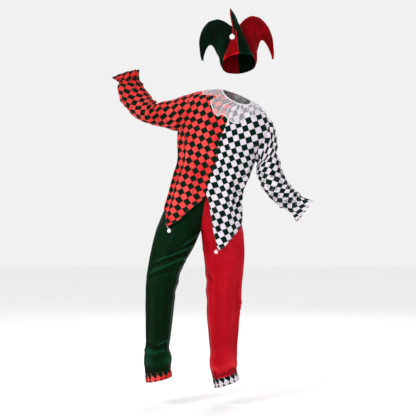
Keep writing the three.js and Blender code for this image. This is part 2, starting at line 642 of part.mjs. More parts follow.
function bandSurface(table) {
  const read = tableReader(table, 't');
  return function bandPoint(turn, t) {
    const row = read(t);
    const wave = BAND_GATHER_HEIGHT * cosine(turn * BAND_GATHERS) * ease(t / BAND_GATHER_START);
    const depth = (sine(turn) > 0 ? row.front : row.back) + wave;
    return ovalPoint(row, turn, row.across + wave, depth);
  };
}

// Hat
const HAT_UP = new THREE.Vector3(sine(HAT_ROLL), 0, cosine(HAT_ROLL));
const HAT_SIDE = new THREE.Vector3(cosine(HAT_ROLL), 0, -sine(HAT_ROLL));
const HAT_FRONT = new THREE.Vector3(0, -1, 0);

// Place in the hat frame given by a distance out, a turn from the front and a height.
function hatPlace(out, turn, high) {
  const point = new THREE.Vector3(HAT_PLACE.x, HAT_PLACE.y, HAT_PLACE.z);
  point.addScaledVector(HAT_SIDE, out * sine(turn));
  point.addScaledVector(HAT_FRONT, out * cosine(turn));
  point.addScaledVector(HAT_UP, high);
  return point;
}

function brimReach(turn) {
  return Math.hypot(BRIM_HALF_WIDTH * sine(turn), BRIM_HALF_DEPTH * cosine(turn));
}

function brimHeight(turn) {
  return BRIM_TILT * cosine(turn);
}

// Direction square to the plane of a horn, toward one of its two faces.
function faceSide(turn, side) {
  const direction = new THREE.Vector3();
  direction.addScaledVector(HAT_SIDE, cosine(turn) * side);
  direction.addScaledVector(HAT_FRONT, -sine(turn) * side);
  return direction;
}

function goreSurface(table, bends, turn, side) {
  const read = tableReader(table, 't');
  const readBend = tableReader(bends, 't');
  const valley = turn + GORE_HALF_TURN * side;
  const middle = turn + GORE_HALF_TURN * side * 0.5;
  const rightward = faceSide(turn, 1);
  const sideways = faceSide(turn, side);

  function topEdge(t) {
    const row = read(t);
    if (t < CROWN_PART) {
      const part = t / CROWN_PART;
      const out = brimReach(valley) * mix(1 - part, 1 - ease(part), VALLEY_DOME);
      return hatPlace(out, valley, mix(brimHeight(valley), CROWN_TOP, part));
    }
    const bend = readBend(t);
    const edge = hatPlace(row.top_out, turn, row.top_high + bend.lift);
    return edge.addScaledVector(rightward, bend.top);
  }

  function underEdge(t) {
    const row = read(t);
    const bend = readBend(t);
    const edge = hatPlace(row.under_out, turn, row.under_high + bend.lift);
    return edge.addScaledVector(rightward, bend.under);
  }

  function halfThickness(t) {
    return read(t).half * (side < 0 ? readBend(t).left : 1);
  }

  // across 0 is the top or valley seam, across 1 the under seam
  function point(across, t) {
    const top = topEdge(t);
    const under = underEdge(t);
    const half = new THREE.Vector3().addVectors(top, under).multiplyScalar(0.5);
    const brimFace = hatPlace(brimReach(middle), middle, brimHeight(middle)).sub(half);
    const hornFace = sideways.clone().multiplyScalar(halfThickness(t));
    const face = brimFace.lerp(hornFace, ease(t / CROWN_PART));
    const rest = 1 - across;
    const pull = face.multiplyScalar(4 * across * rest);
    return top.multiplyScalar(rest).addScaledVector(under, across).add(pull);
  }

  // How far a point of the face lies from the middle of the horn.
  function aside(across, t) {
    return 4 * across * (1 - across) * halfThickness(t);
  }

  function height(t) {
    return topEdge(t).distanceTo(underEdge(t));
  }

  // Direction square to the plane through the two seams of a horn.
  function horn(t) {
    const along = topEdge(t + SLOPE_STEP).sub(topEdge(t - SLOPE_STEP));
    return along.cross(topEdge(t).sub(underEdge(t))).normalize();
  }

  // Middle of the closed tip.
  function tip() {
    return topEdge(1).lerp(underEdge(1), 0.5);
  }
  return { point, aside, height, horn, sideways, tip };
}

// Direction in which a surface faces at one place. turned is 1 or -1.
function surfaceFacing(surface, u, v, turned, stepU = 0.5, stepV = SLOPE_STEP) {
  const right = surface(u + stepU, v).sub(surface(u - stepU, v));
  const downward = surface(u, v + stepV).sub(surface(u, v - stepV));
  return right.cross(downward).normalize().multiplyScalar(turned);
}

// Grid of outer and inner points of a piece of cloth. places is a grid of { u, v }.
function clothGrid(surface, places, options) {
  const { thickness = CLOTH, turned = 1, stepU, stepV, inward } = options;
  const outer = [];
  const inner = [];
  for (let row = 0; row < places.length; row += 1) {
    const outerRow = [];
    const innerRow = [];
    for (let column = 0; column < places[row].length; column += 1) {
      const place = places[row][column];
      const point = surface(place.u, place.v);
      const facing = surfaceFacing(surface, place.u, place.v, turned, stepU, stepV);
      let wall = facing.clone().multiplyScalar(thickness);
      if (inward) {
        wall = inward(place, row, column, facing, point) ?? wall;
      }
      outerRow.push(point);
      innerRow.push(point.clone().sub(wall));
    }
    outer.push(outerRow);
    inner.push(innerRow);
  }
  return { outer, inner };
}

// Draws one edge of a grid back by half a seam, along the cloth.
function drawBack(grid, edge, gap = SEAM / 2) {
  const rows = grid.outer.length;
  const columns = grid.outer[0].length;
  const shifts = [];
  const alongRows = edge === 'first' || edge === 'last';
  const count = alongRows ? rows : columns;
  for (let i = 0; i < count; i += 1) {
    const at = edgeCell(edge, i, rows, columns, 0);
    const next = edgeCell(edge, i, rows, columns, 1);
    const shift = grid.outer[next.row][next.column].clone();
    shift.sub(grid.outer[at.row][at.column]).setLength(gap);
    shifts.push({ at, shift });
  }
  for (const { at, shift } of shifts) {
    grid.outer[at.row][at.column].add(shift);
    grid.inner[at.row][at.column].add(shift);
  }
}

function edgeCell(edge, i, rows, columns, inside) {
  if (edge === 'first') {
    return { row: i, column: inside };
  }
  if (edge === 'last') {
    return { row: i, column: columns - 1 - inside };
  }
  if (edge === 'top') {
    return { row: inside, column: i };
  }
  return { row: rows - 1 - inside, column: i };
}

// Closed wall between the outer and inner points. A round piece joins its last
// column to its first.
function clothWall(grid, round) {
  const rows = grid.outer.length;
  const columns = grid.outer[0].length;
  const positions = [];
  for (const side of [grid.outer, grid.inner]) {
    for (const row of side) {
      for (const point of row) {
        positions.push(point.x, point.y, point.z);
      }
    }
  }
  const layer = rows * columns;
  const index = [];
  const cell = (row, column) => row * columns + (column % columns);
  const quad = (a, b, c, d) => index.push(a, b, c, a, c, d);
  const strips = round ? columns : columns - 1;
  for (let row = 0; row < rows - 1; row += 1) {
    for (let column = 0; column < strips; column += 1) {
      const a = cell(row, column);
      const b = cell(row, column + 1);
      const c = cell(row + 1, column + 1);
      const d = cell(row + 1, column);
      quad(a, d, c, b);
      quad(layer + a, layer + b, layer + c, layer + d);
    }
  }
  for (let column = 0; column < strips; column += 1) {
    const a = cell(0, column);
    const b = cell(0, column + 1);
    quad(a, b, layer + b, layer + a);
    const c = cell(rows - 1, column);
    const d = cell(rows - 1, column + 1);
    quad(d, c, layer + c, layer + d);
  }
  if (!round) {
    for (let row = 0; row < rows - 1; row += 1) {
      const a = cell(row, 0);
      const b = cell(row + 1, 0);
      quad(b, a, layer + a, layer + b);
      const c = cell(row, columns - 1);
      const d = cell(row + 1, columns - 1);
      quad(c, d, layer + d, layer + c);
    }
  }
  return facingOut(positions, index);
}

// Turns the faces round if they close the body inside out.
function facingOut(positions, index) {
  let volume = 0;
  const a = new THREE.Vector3();
  const b = new THREE.Vector3();
  const c = new THREE.Vector3();
  for (let i = 0; i < index.length; i += 3) {
    a.fromArray(positions, index[i] * 3);
    b.fromArray(positions, index[i + 1] * 3);
    c.fromArray(positions, index[i + 2] * 3);
    volume += a.dot(b.cross(c));
  }
  const turned = volume < 0 ? index.slice().reverse() : index;
  const geometry = new THREE.BufferGeometry();
  geometry.setAttribute('position', new THREE.Float32BufferAttribute(positions, 3));
  geometry.setIndex(turned);
  geometry.computeVertexNormals();
  return geometry;
}

// Wall direction where two surfaces meet at a corner.
function mitred(facingOne, facingOther, thickness) {
  const between = facingOne.clone().add(facingOther).normalize();
  const length = thickness / Math.max(between.dot(facingOne), 1 / MITRE_LIMIT);
  return between.multiplyScalar(length);
}

const costume = new THREE.Group();
costume.name = 'jester_costume';

function addPiece(name, geometry, color, roughness) {
  const material = new THREE.MeshStandardMaterial({ color, roughness, metalness: 0 });
  material.name = `${name}_cloth`;
  const mesh = new THREE.Mesh(geometry, material);
  mesh.name = name;
  costume.add(mesh);
}

// Tunic body panels and their sleeves
const sleeves = {
  red: sleeveSurface('red', SLEEVE_RED),
  white: sleeveSurface('white', SLEEVE_WHITE),
};

// Which way the wall of the sleeve and of the body lie at one place of the armhole.
function armholeWall(side, ring) {
  const place = armholePlace(side, ring);
  const body = surfaceFacing(bodyPoint, place.turn, place.down, 1, 0.5, 0.5);
  const sleeve = surfaceFacing(sleeves[side], ring, SLOPE_STEP, sleeveTurned(side));
  return mitred(body, sleeve, CLOTH);
}

function sleeveTurned(side) {
  return side === 'red' ? -1 : 1;
}

// How far across its panel a column lies. One column runs down to the hem point.
function panelShare(side, column) {
  const inner = TIP_COLUMNS[side];
  if (column <= inner) {
    return TIP_SHARE[side] * (column / inner);
  }
  return mix(TIP_SHARE[side], 1, (column - inner) / (BODY_COLUMNS - inner));
}

// One quarter of the tunic. seamTurn is the middle front or back, sideTurn the
// side seam, ringSign 1 for a front panel and -1 for a back panel.
function bodyPanel(side, seamTurn, sideTurn, ringSign) {
  const places = [];
  for (let row = 0; row < SHOULDER_ROWS; row += 1) {
    const down = SHOULDER_POINT * (row / SHOULDER_ROWS);
    places.push(bodyRow(side, seamTurn, sideTurn, () => down));
  }
  for (let row = 0; row <= ARMHOLE_ROWS; row += 1) {
    const part = row / ARMHOLE_ROWS;
    const ring = HALF_TURN * part * ringSign;
    const edge = armholePlace(side, ring);
    const middle = mix(SHOULDER_POINT, ARMPIT_MIDDLE, part);
    const downAt = (turn, across) => mix(middle, edge.down, across);
    const line = bodyRow(side, seamTurn, edge.turn, downAt);
    line.forEach((place) => Object.assign(place, { ring }));
    places.push(line);
  }
  for (let row = 1; row <= SKIRT_ROWS; row += 1) {
    const part = row / SKIRT_ROWS;
    places.push(bodyRow(side, seamTurn, sideTurn, (turn, across) => {
      const armpit = mix(ARMPIT_MIDDLE, ARMPIT[side], across);
      return mix(armpit, hemDown(turn), part);
    }));
  }
  const last = BODY_COLUMNS;
  const inward = (place, row, column) => {
    if (column !== last || place.ring === undefined) {
      return undefined;
    }
    return armholeWall(side, place.ring);
  };
  const grid = clothGrid(bodyPoint, places, { stepV: 0.5, inward });
  drawBack(grid, 'first');
  drawBack(grid, 'last');
  return clothWall(grid, false);
}

function bodyRow(side, fromTurn, toTurn, downAt) {
  const line = [];
  const turned = turnBetween(fromTurn, toTurn);
  for (let column = 0; column <= BODY_COLUMNS; column += 1) {
    const across = panelShare(side, column);
    const turn = fromTurn + turned * across;
    line.push({ u: turn, v: downAt(turn, across) });
  }
  return line;
}

addPiece('tunic_front_red', bodyPanel('red', 90, 180, 1), CORAL, COTTON);
addPiece('tunic_front_white', bodyPanel('white', 90, 0, 1), CHECK_WHITE, COTTON);
addPiece('tunic_back_red', bodyPanel('red', 270, 180, -1), CORAL, COTTON);
addPiece('tunic_back_white', bodyPanel('white', 270, 360, -1), CHECK_WHITE, COTTON);

function sleevePiece(side) {
  const places = [];
  const columns = ARMHOLE_ROWS * 2;
  const rings = (t, count) => {
    const line = [];
    for (let column = 0; column < count; column += 1) {
      line.push({ u: (FULL_TURN * column) / count, v: t });
    }
    return line;
  };
  for (let row = 0; row <= SLEEVE_ROWS; row += 1) {
    places.push(rings(row / SLEEVE_ROWS, columns));
  }
  for (let row = 1; row <= FRILL_ROWS; row += 1) {
    places.push(rings(1 + (FRILL_LENGTH * row) / FRILL_ROWS, columns));
  }
  const inward = (place, row) => (row === 0 ? armholeWall(side, place.u) : undefined);
  const options = { turned: sleeveTurned(side), inward };
  const grid = clothGrid(sleeves[side], places, options);
  drawBack(grid, 'top');
  return clothWall(grid, true);
}

addPiece('sleeve_red', sleevePiece('red'), CORAL, COTTON);
addPiece('sleeve_white', sleevePiece('white'), CHECK_WHITE, COTTON);

// Grid of places of a round piece: rows of evenly spread turns.
function roundPlaces(columns, downs) {
  const places = [];
  for (const down of downs) {
    const line = [];
    for (let column = 0; column < columns; column += 1) {
      line.push({ u: (FULL_TURN * column) / columns, v: down });
    }
    places.push(line);
  }
  return places;
}

function evenParts(count) {
  return Array.from({ length: count + 1 }, (_, i) => i / count);
}

// Ruff collar and neck binding
const ruffTurns = RUFF_EDGE.slice(0, -1).map((row) => row.turn);
const ruffPlaces = evenParts(RUFF_ROWS).map((v) => ruffTurns.map((u) => ({ u, v })));
const ruffOptions = { thickness: SHEER, turned: 1, stepU: 1, stepV: 0.01 };
const ruffGrid = clothGrid(ruffPoint, ruffPlaces, ruffOptions);
addPiece('collar_ruff', clothWall(ruffGrid, true), ORGANZA, ORGANZA_SHEEN);

// Closed ring whose section is given by a roll angle, for the neck binding.
function ringPiece(surface, columns, sides) {
  const positions = [];
  const index = [];
  for (let column = 0; column < columns; column += 1) {
    for (let side = 0; side < sides; side += 1) {
      const turn = (FULL_TURN * column) / columns;
      const point = surface(turn, (FULL_TURN * side) / sides);
      positions.push(point.x, point.y, point.z);
      const next = ((column + 1) % columns) * sides;
      const here = column * sides;
      const other = (side + 1) % sides;
      index.push(here + side, here + other, next + other);
      index.push(here + side, next + other, next + side);
    }
  }
  return facingOut(positions, index);
}

const bindingRing = ringPiece(bindingPoint, BINDING_COLUMNS, BINDING_SIDES);
addPiece('neck_binding', bindingRing, ORGANZA, COTTON);

// Trouser legs
const legs = {
  green: legSurface('green', LEG_GREEN),
  red: legSurface('red', LEG_RED),
};

// One panel of a leg, from the middle seam or the inner leg to the outer seam.
function legPanel(side, isFront) {
  const leg = legs[side];
  const places = [];
  const downs = [];
  for (let row = 0; row <= HIP_ROWS; row += 1) {
    downs.push(Math.sin((Math.PI / 2) * (row / HIP_ROWS)));
  }
  for (let row = 1; row <= LEG_ROWS; row += 1) {
    downs.push(1 + row / LEG_ROWS);
  }
  for (const down of downs) {
    const from = leg.start(down);
    const line = [];
    for (let column = 0; column <= LEG_COLUMNS; column += 1) {
      const turn = mix(from, HALF_TURN, column / LEG_COLUMNS);
      line.push({ u: isFront ? turn : FULL_TURN - turn, v: down });
    }
    places.push(line);
  }
  const turned = side === 'green' ? 1 : -1;
  const grid = clothGrid(leg.point, places, { turned, stepV: 0.002 });
  drawBack(grid, 'first');
  drawBack(grid, 'last');
  return clothWall(grid, false);
}

addPiece('trouser_front_green', legPanel('green', true), BOTTLE_GREEN, SATIN);
addPiece('trouser_back_green', legPanel('green', false), BOTTLE_GREEN, SATIN);
addPiece('trouser_front_red', legPanel('red', true), SATIN_RED, SATIN);
addPiece('trouser_back_red', legPanel('red', false), SATIN_RED, SATIN);

function bandPiece(table) {
  const places = roundPlaces(BAND_COLUMNS, evenParts(BAND_ROWS));
  const grid = clothGrid(bandSurface(table), places, { turned: 1, stepU: 1, stepV: 0.01 });
  return clothWall(grid, true);
}

addPiece('ankle_band_green_leg', bandPiece(BAND_GREEN_LEG), CORAL, COTTON);
addPiece('ankle_band_red_leg', bandPiece(BAND_RED_LEG), CHECK_WHITE, COTTON);

// Hat gores. Their seam walls lie in the plane of the seam, so that two gores
// meet there without crossing.
function gorePiece(table, bends, turn, side) {
  const gore = goreSurface(table, bends, turn, side);
  const places = [];
  for (let row = 0; row <= GORE_ROWS; row += 1) {
    const line = [];
    for (let column = 0; column <= GORE_COLUMNS; column += 1) {
      line.push({ u: column / GORE_COLUMNS, v: row / GORE_ROWS });
    }
    places.push(line);
  }
  const hornPlane = faceSide(turn, 1);
  const valleyPlane = faceSide(turn + GORE_HALF_TURN * side, 1);
  const inward = (place, row, column, facing) => {
    const isHorn = place.v >= CROWN_PART;
    if (column > 0 && column < GORE_COLUMNS) {
      const wall = facing.clone().multiplyScalar(CLOTH);
      const room = gore.aside(place.u, place.v) - SEAM / 2;
      const reach = wall.dot(gore.sideways);
      if (isHorn && reach > room) {
        wall.addScaledVector(gore.sideways, room - reach);
      }
      return wall;
    }
    const plane = isHorn ? gore.horn(place.v) : column === 0 ? valleyPlane : hornPlane;
    const wall = mitred(facing, facing.clone().reflect(plane), CLOTH);
    const most = isHorn ? gore.height(place.v) * TIP_SHARE_WALL : wall.length();
    return wall.clampLength(0, most);
  };
  const options = { turned: -side, stepU: 0.01, stepV: 0.002, inward };
  const grid = clothGrid(gore.point, places, options);
  drawBack(grid, 'first', VELVET_SEAM);
  drawBack(grid, 'last', VELVET_SEAM);
  return clothWall(grid, false);
}

const frontGore = (side) => gorePiece(HORN_FRONT, BEND_FRONT, 0, side);
const leftGore = (side) => gorePiece(HORN_SIDE, BEND_LEFT, LEFT_HORN, side);
const rightGore = (side) => gorePiece(HORN_SIDE, BEND_RIGHT, RIGHT_HORN, side);
addPiece('gore_front_left', frontGore(-1), VELVET_RED, VELVET);
addPiece('gore_front_right', frontGore(1), VELVET_GREEN, VELVET);
addPiece('gore_left_front', leftGore(1), VELVET_GREEN, VELVET);
addPiece('gore_left_back', leftGore(-1), VELVET_RED, VELVET);
addPiece('gore_right_front', rightGore(-1), VELVET_RED, VELVET);
addPiece('gore_right_back', rightGore(1), VELVET_GREEN, VELVET);

// Baubles
for (const [name, bauble] of Object.entries(BAUBLES)) {
  const ball = new THREE.SphereGeometry(bauble.size / 2, BAUBLE_COLUMNS, BAUBLE_ROWS);
  ball.deleteAttribute('uv');
  ball.deleteAttribute('normal');
  ball.translate(bauble.x, bauble.y, bauble.z);
  addPiece(name, ball, BAUBLE_WHITE, BAUBLE_SHINE);
}

// Threads that carry the baubles, each from the cloth to the top of its bauble.
function threadPiece(from, bauble) {
  const middle = new THREE.Vector3(bauble.x, bauble.y, bauble.z);
  const line = middle.clone().sub(from);
  const length = line.length() - bauble.size / 2 - THREAD_CLEAR * 2;
  const thread = new THREE.CylinderGeometry(THREAD_HALF, THREAD_HALF, length, THREAD_SIDES);
  thread.deleteAttribute('uv');
  thread.deleteAttribute('normal');
  const up = new THREE.Vector3(0, 1, 0);
  thread.applyQuaternion(new THREE.Quaternion().setFromUnitVectors(up, line.clone().normalize()));
  const centre = from.clone().addScaledVector(line.normalize(), THREAD_CLEAR + length / 2);
  thread.translate(centre.x, centre.y, centre.z);
  return thread;
}

// Middle of the cloth at the lowest place of a hem point.
function hemPoint(turn) {
  const down = hemDown(turn);
  const facing = surfaceFacing(bodyPoint, turn, down, 1, 0.5, 0.5);
  return bodyPoint(turn, down).addScaledVector(facing, -CLOTH / 2);
}

const hatTip = goreSurface(HORN_FRONT, BEND_FRONT, 0, 1).tip();
hatTip.z -= TIP_DROP;
const redTip = hemPoint(QUARTER_TURN * (1 + TIP_SHARE.red));
const whiteTip = hemPoint(QUARTER_TURN * (1 - TIP_SHARE.white));
addPiece('hat_thread', threadPiece(hatTip, BAUBLES.hat_bauble), BAUBLE_WHITE, COTTON);
addPiece('hem_thread_red', threadPiece(redTip, BAUBLES.hem_bauble_red), BAUBLE_WHITE, COTTON);
addPiece('hem_thread_white', threadPiece(whiteTip, BAUBLES.hem_bauble_white), BAUBLE_WHITE, COTTON);

export default costume;
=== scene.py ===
# %% [markdown]
# # A jester costume, dressed in Blender
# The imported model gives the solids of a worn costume: a check tunic with a sheer
# ruff, satin trousers and a velvet hat with three horns. Here every piece of it
# is made again as thin cloth on the same form, with the folds, print, nap and
# sewing that the solids leave out. All lengths are in metres, +Z is up and the
# costume faces -Y, so left and right are as the viewer in front sees them.

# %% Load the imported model
import json
import math
from types import SimpleNamespace

import bpy
import numpy as np
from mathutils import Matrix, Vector, noise

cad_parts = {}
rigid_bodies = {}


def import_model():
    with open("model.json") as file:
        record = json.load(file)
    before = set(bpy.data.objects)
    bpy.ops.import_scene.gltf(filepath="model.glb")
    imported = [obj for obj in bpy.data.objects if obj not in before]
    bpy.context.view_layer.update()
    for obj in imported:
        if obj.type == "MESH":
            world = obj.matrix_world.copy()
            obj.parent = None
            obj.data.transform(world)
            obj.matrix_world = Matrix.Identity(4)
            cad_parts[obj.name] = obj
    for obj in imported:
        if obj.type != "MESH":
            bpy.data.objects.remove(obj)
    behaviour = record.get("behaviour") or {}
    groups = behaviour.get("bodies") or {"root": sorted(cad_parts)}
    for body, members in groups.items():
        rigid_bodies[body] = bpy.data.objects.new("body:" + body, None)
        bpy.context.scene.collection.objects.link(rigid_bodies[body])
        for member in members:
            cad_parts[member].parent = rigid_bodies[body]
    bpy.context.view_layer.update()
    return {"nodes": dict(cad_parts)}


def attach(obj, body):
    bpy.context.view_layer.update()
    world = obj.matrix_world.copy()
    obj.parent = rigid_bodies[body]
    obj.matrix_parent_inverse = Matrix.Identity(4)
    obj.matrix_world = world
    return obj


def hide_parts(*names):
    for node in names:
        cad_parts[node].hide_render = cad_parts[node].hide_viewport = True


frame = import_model()
MM = 0.001
print("nodes of the packed model:", len(frame["nodes"]))

# %% [markdown]
# ## Camera, floor and light
# The photograph was taken level with the hips from a good way off, so a long lens
# six metres away gives the same small perspective. The floor lies a little below
# the ankle bands, as it would under a standing figure. Three large soft lamps and
# a pale world give the even light of a studio, with the key lamp high on the left.

# %% Camera
scene = bpy.context.scene
CAMERA_PLACE = (-0.1425, -6.0, -0.560)
CAMERA_LENS = 103.85
SENSOR_WIDTH = 36

camera_data = bpy.data.cameras.new("camera")
camera_data.lens = CAMERA_LENS
camera_data.sensor_width = SENSOR_WIDTH
camera = bpy.data.objects.new("camera", camera_data)
camera.location = CAMERA_PLACE
camera.rotation_euler = (math.radians(90), 0, 0)
scene.collection.objects.link(camera)
scene.camera = camera
scene.view_settings.view_transform = "Standard"
print("camera looks along +Y from", CAMERA_PLACE)

# %% Floor and lamps
LAMP_AIM = (-0.1, 0, -0.6)
WORLD_STRENGTH = 0.88
FLOOR_LEVEL = -1.545
FLOOR_REACH = 14
LAMPS = [
    # name, place, size, power
    ("key_lamp", (-3.0, -3.4, 2.4), 1.6, 118),
    ("fill_lamp", (3.2, -3.6, 0.6), 2.6, 18),
    ("back_lamp", (0.6, 3.6, 2.0), 2.6, 60),
]


def add_lamp(name, place, size, power):
    lamp = bpy.data.lights.new(name, "AREA")
    lamp.shape = "DISK"
    lamp.size = size
    lamp.energy = power
    holder = bpy.data.objects.new(name, lamp)
    holder.location = place
    aim = Vector(LAMP_AIM) - Vector(place)
    holder.rotation_euler = aim.to_track_quat("-Z", "Y").to_euler()
    scene.collection.objects.link(holder)


for row in LAMPS:
    add_lamp(*row)

world = bpy.data.worlds.new("studio")
world.use_nodes = True
sky = world.node_tree.nodes["Background"].inputs
sky["Color"].default_value = (1, 1, 1, 1)
sky["Strength"].default_value = WORLD_STRENGTH
scene.world = world

floor_mesh = bpy.data.meshes.new("floor")
corners = [(FLOOR_REACH * x, FLOOR_REACH * y, FLOOR_LEVEL)
           for x, y in ((-1, -1), (1, -1), (1, 1), (-1, 1))]
floor_mesh.from_pydata(corners, [], [(0, 1, 2, 3)])
floor = bpy.data.objects.new("floor", floor_mesh)
scene.collection.objects.link(floor)
print("lamps:", len(LAMPS), "and a floor at", FLOOR_LEVEL, "m")

# %% [markdown]
# ## Shader maths in plain Python
# A material is a net of nodes, and a long sum is hard to read as nodes. A small
# class wraps one socket and turns +, - and * into Math nodes, so a weave can be
# written as an expression. Every other node comes from one method.

# %% A socket that can be used in sums
class Wire:
    """One output of a node tree that can be added, multiplied and so on."""

    def __init__(self, finish, socket):
        self.finish = finish
        self.socket = socket

    def maths(self, operation, *values):
        return self.finish.node("ShaderNodeMath", {"operation": operation}, list(values))

    def __add__(self, other):
        return self.maths("ADD", self, other)

    def __sub__(self, other):
        return self.maths("SUBTRACT", self, other)

    def __rsub__(self, other):
        return self.maths("SUBTRACT", other, self)

    def __mul__(self, other):
        return self.maths("MULTIPLY", self, other)

    __radd__ = __add__
    __rmul__ = __mul__

    def sine(self):
        return self.maths("SINE", self)

    def size(self):
        return self.maths("ABSOLUTE", self)

    def between(self, low, high):
        """0 at low, 1 at high and smooth in between."""
        ramp = {"interpolation_type": "SMOOTHSTEP"}
        return self.finish.node("ShaderNodeMapRange", ramp, {0: self, 1: low, 2: high})


class Finish:
    """A material under construction."""

    def __init__(self, name):
        self.material = bpy.data.materials.new(name)
        self.material.use_nodes = True
        self.tree = self.material.node_tree
        self.shader = self.tree.nodes["Principled BSDF"]

    def node(self, kind, settings=None, inputs=None, output=0):
        """A node with its settings and with values or wires in its sockets."""
        made = self.tree.nodes.new(kind)
        for name, value in (settings or {}).items():
            setattr(made, name, value)
        pairs = enumerate(inputs) if isinstance(inputs, list) else (inputs or {}).items()
        for key, value in pairs:
            self.fill(made.inputs[key], value)
        return Wire(self, made.outputs[output])

    def fill(self, socket, value):
        if isinstance(value, Wire):
            self.tree.links.new(value.socket, socket)
        else:
            socket.default_value = value

    def mixed(self, part, first, second):
        """Colour between two colours."""
        sockets = {0: part, 6: first, 7: second}
        return self.node("ShaderNodeMix", {"data_type": "RGBA"}, sockets, 2)

    def place(self):
        """Place in the room, which is also the place on the garment."""
        return self.node("ShaderNodeTexCoord", output="Object")

    def flat_cloth(self):
        """Way across and way along the flat cloth, from its UV map."""
        return self.split(self.node("ShaderNodeTexCoord", output="UV"))

    def split(self, vector):
        return [self.node("ShaderNodeSeparateXYZ", {}, [vector], k) for k in range(2)]

    def attribute(self, name):
        return self.node("ShaderNodeAttribute", {"attribute_name": name}, {}, 2)

    def painted_fold_shading(self, colour, shade, light, pale):
        """Painted fold light: colour darkened toward black in fold troughs, paled on
        their ridges.
        """
        fold = self.attribute("fold")
        deep = self.mixed(fold.between(0, -1) * shade, colour, (0, 0, 0, 1))
        return self.mixed(fold.between(0, 1) * light, deep, pale)

    def noise(self, vector, scale, detail=2.0, roughness=0.5):
        return self.node("ShaderNodeTexNoise", {}, {
            "Vector": vector, "Scale": scale, "Detail": detail, "Roughness": roughness})

    def bump(self, height, distance, below=None):
        inputs = {"Height": height, "Distance": distance, "Strength": 1.0}
        if below is not None:
            inputs["Normal"] = below
        return self.node("ShaderNodeBump", {}, inputs)

    def set(self, **values):
        """Sets sockets of the shader, such as base_color or sheen_weight."""
        names = {"specular_ior_level": "Specular IOR Level"}
        for name, value in values.items():
            label = names.get(name, name.replace("_", " ").title())
            self.fill(self.shader.inputs[label], value)
        return self.material


# %% Colours of the cloths
def tone(red, green, blue):
    """Colour as the shader reads it, from the 0 to 255 of a paint box."""
    return tuple((value / 255) ** 2.2 for value in (red, green, blue)) + (1,)


CORAL = tone(226, 76, 74)
CORAL_DEEP = tone(208, 28, 36)
WHITE_PRINT = tone(222, 214, 222)
WHITE_DEEP = tone(200, 190, 202)
GREEN_PRINT = tone(4, 38, 26)
GREEN_BLACK = tone(2, 20, 14)
VELVET_RED = tone(108, 0, 14)
VELVET_GREEN = tone(0, 22, 12)
SHEER_WHITE = tone(240, 236, 242)
CLEAN_WHITE = tone(244, 243, 246)

# %% [markdown]
# ## Printed check cotton
# The tunic is thin cotton printed with squares of 28.5 mm that stand on their
# points along the garment. Two sine waves run across the cloth on the slant, and
# a smooth step over zero turns each into stripes with slightly soft edges. A
# square is green where both waves agree. The green ink spreads a little, so its
# squares are the larger ones. The pattern reads the cloth's own UV map, which is
# in metres of flat cloth, so it bends into the folds as a real print does. The
# wrong side of such a print is paler, so it has its own finish.

# %% Check cotton
CHECK_SQUARE = 0.0285
PRINT_SOFT = 0.16
PRINT_SPREAD = (0.12, 0.62)
YARN = 0.0007


def weave_height(across, along, pitch):
    """Plain weave: yarns that go over and under each other."""
    turn = 2 * math.pi / pitch
    return (across * turn).sine() * (along * turn).sine()


def check_mask(across, along):
    """1 on the green squares of the check, which spread a little, and 0 elsewhere."""
    step = math.pi / (CHECK_SQUARE * math.sqrt(2))
    one = ((across + along) * step).sine().between(-PRINT_SOFT, PRINT_SOFT)
    other = ((along - across) * step).sine().between(-PRINT_SOFT, PRINT_SOFT)
    return (1 - (one - other).size()).between(*PRINT_SPREAD)


def check_cotton(name, light, light_deep, wrong_side=False):
    finish = Finish(name)
    across, along = finish.flat_cloth()
    place = finish.place()
    mask = check_mask(across, along)
    cloudy = finish.noise(place, 9, 3).between(0.35, 0.7)
    ink = finish.noise(place, 420, 2).between(0.3, 0.75)
    edge = finish.attribute("edge")
    pale = finish.mixed(cloudy * 0.8, light, light_deep)
    dark = finish.mixed(ink * 0.55, GREEN_PRINT, GREEN_BLACK)
    print_colour = finish.mixed(mask, pale, dark)
    wear_and_fold_shade = finish.mixed(edge * ink * 0.12, print_colour, CLEAN_WHITE)
    # Painted shade in the fold troughs and a faint painted highlight on the ridges.
    wear_and_fold_shade = finish.painted_fold_shading(wear_and_fold_shade, 0.55, 0.02, light)
    if wrong_side:
        wear_and_fold_shade = finish.mixed(0.62, wear_and_fold_shade, tone(206, 202, 206))
    weave = weave_height(across, along, YARN)
    soft = finish.noise(place, 38, 3, 0.55)
    grain = finish.bump(weave, 0.00006)
    normal = finish.bump(soft, 0.0022, grain)
    return finish.set(base_color=wear_and_fold_shade, roughness=0.78 + ink * 0.12, normal=normal,
                      sheen_weight=0.04, sheen_roughness=0.5, specular_ior_level=0.03)


red_check = check_cotton("red_check_cotton", CORAL, CORAL_DEEP)
red_check_inside = check_cotton("red_check_wrong_side", CORAL, CORAL_DEEP, True)
white_check = check_cotton("white_check_cotton", WHITE_PRINT, WHITE_DEEP)
white_check_inside = check_cotton("white_check_wrong_side", WHITE_PRINT, WHITE_DEEP, True)
print("check square", CHECK_SQUARE, "m, yarn", YARN, "m")

# %% [markdown]
# ## Satin
# Satin has long floating yarns on its face, so its highlights are soft along the
# yarns and it shows every fold. A fine twill line, a low roughness that changes
# a little over the cloth and some anisotropy on the shader give that look, with
# painted shade in the fold troughs and a painted highlight on the ridges. The
# wrong side has the same colours and is duller.

# %% Satin
SATIN_ROUGH = 0.4
WRONG_SIDE_ROUGH = 0.66
SATIN_TONES = {
    # cloth, deeper patches, painted highlight on ridges of folds
    "green": (tone(2, 36, 18), tone(0, 27, 12), tone(26, 84, 60)),
    "red": (tone(184, 22, 38), tone(150, 4, 20), tone(238, 60, 66)),
}


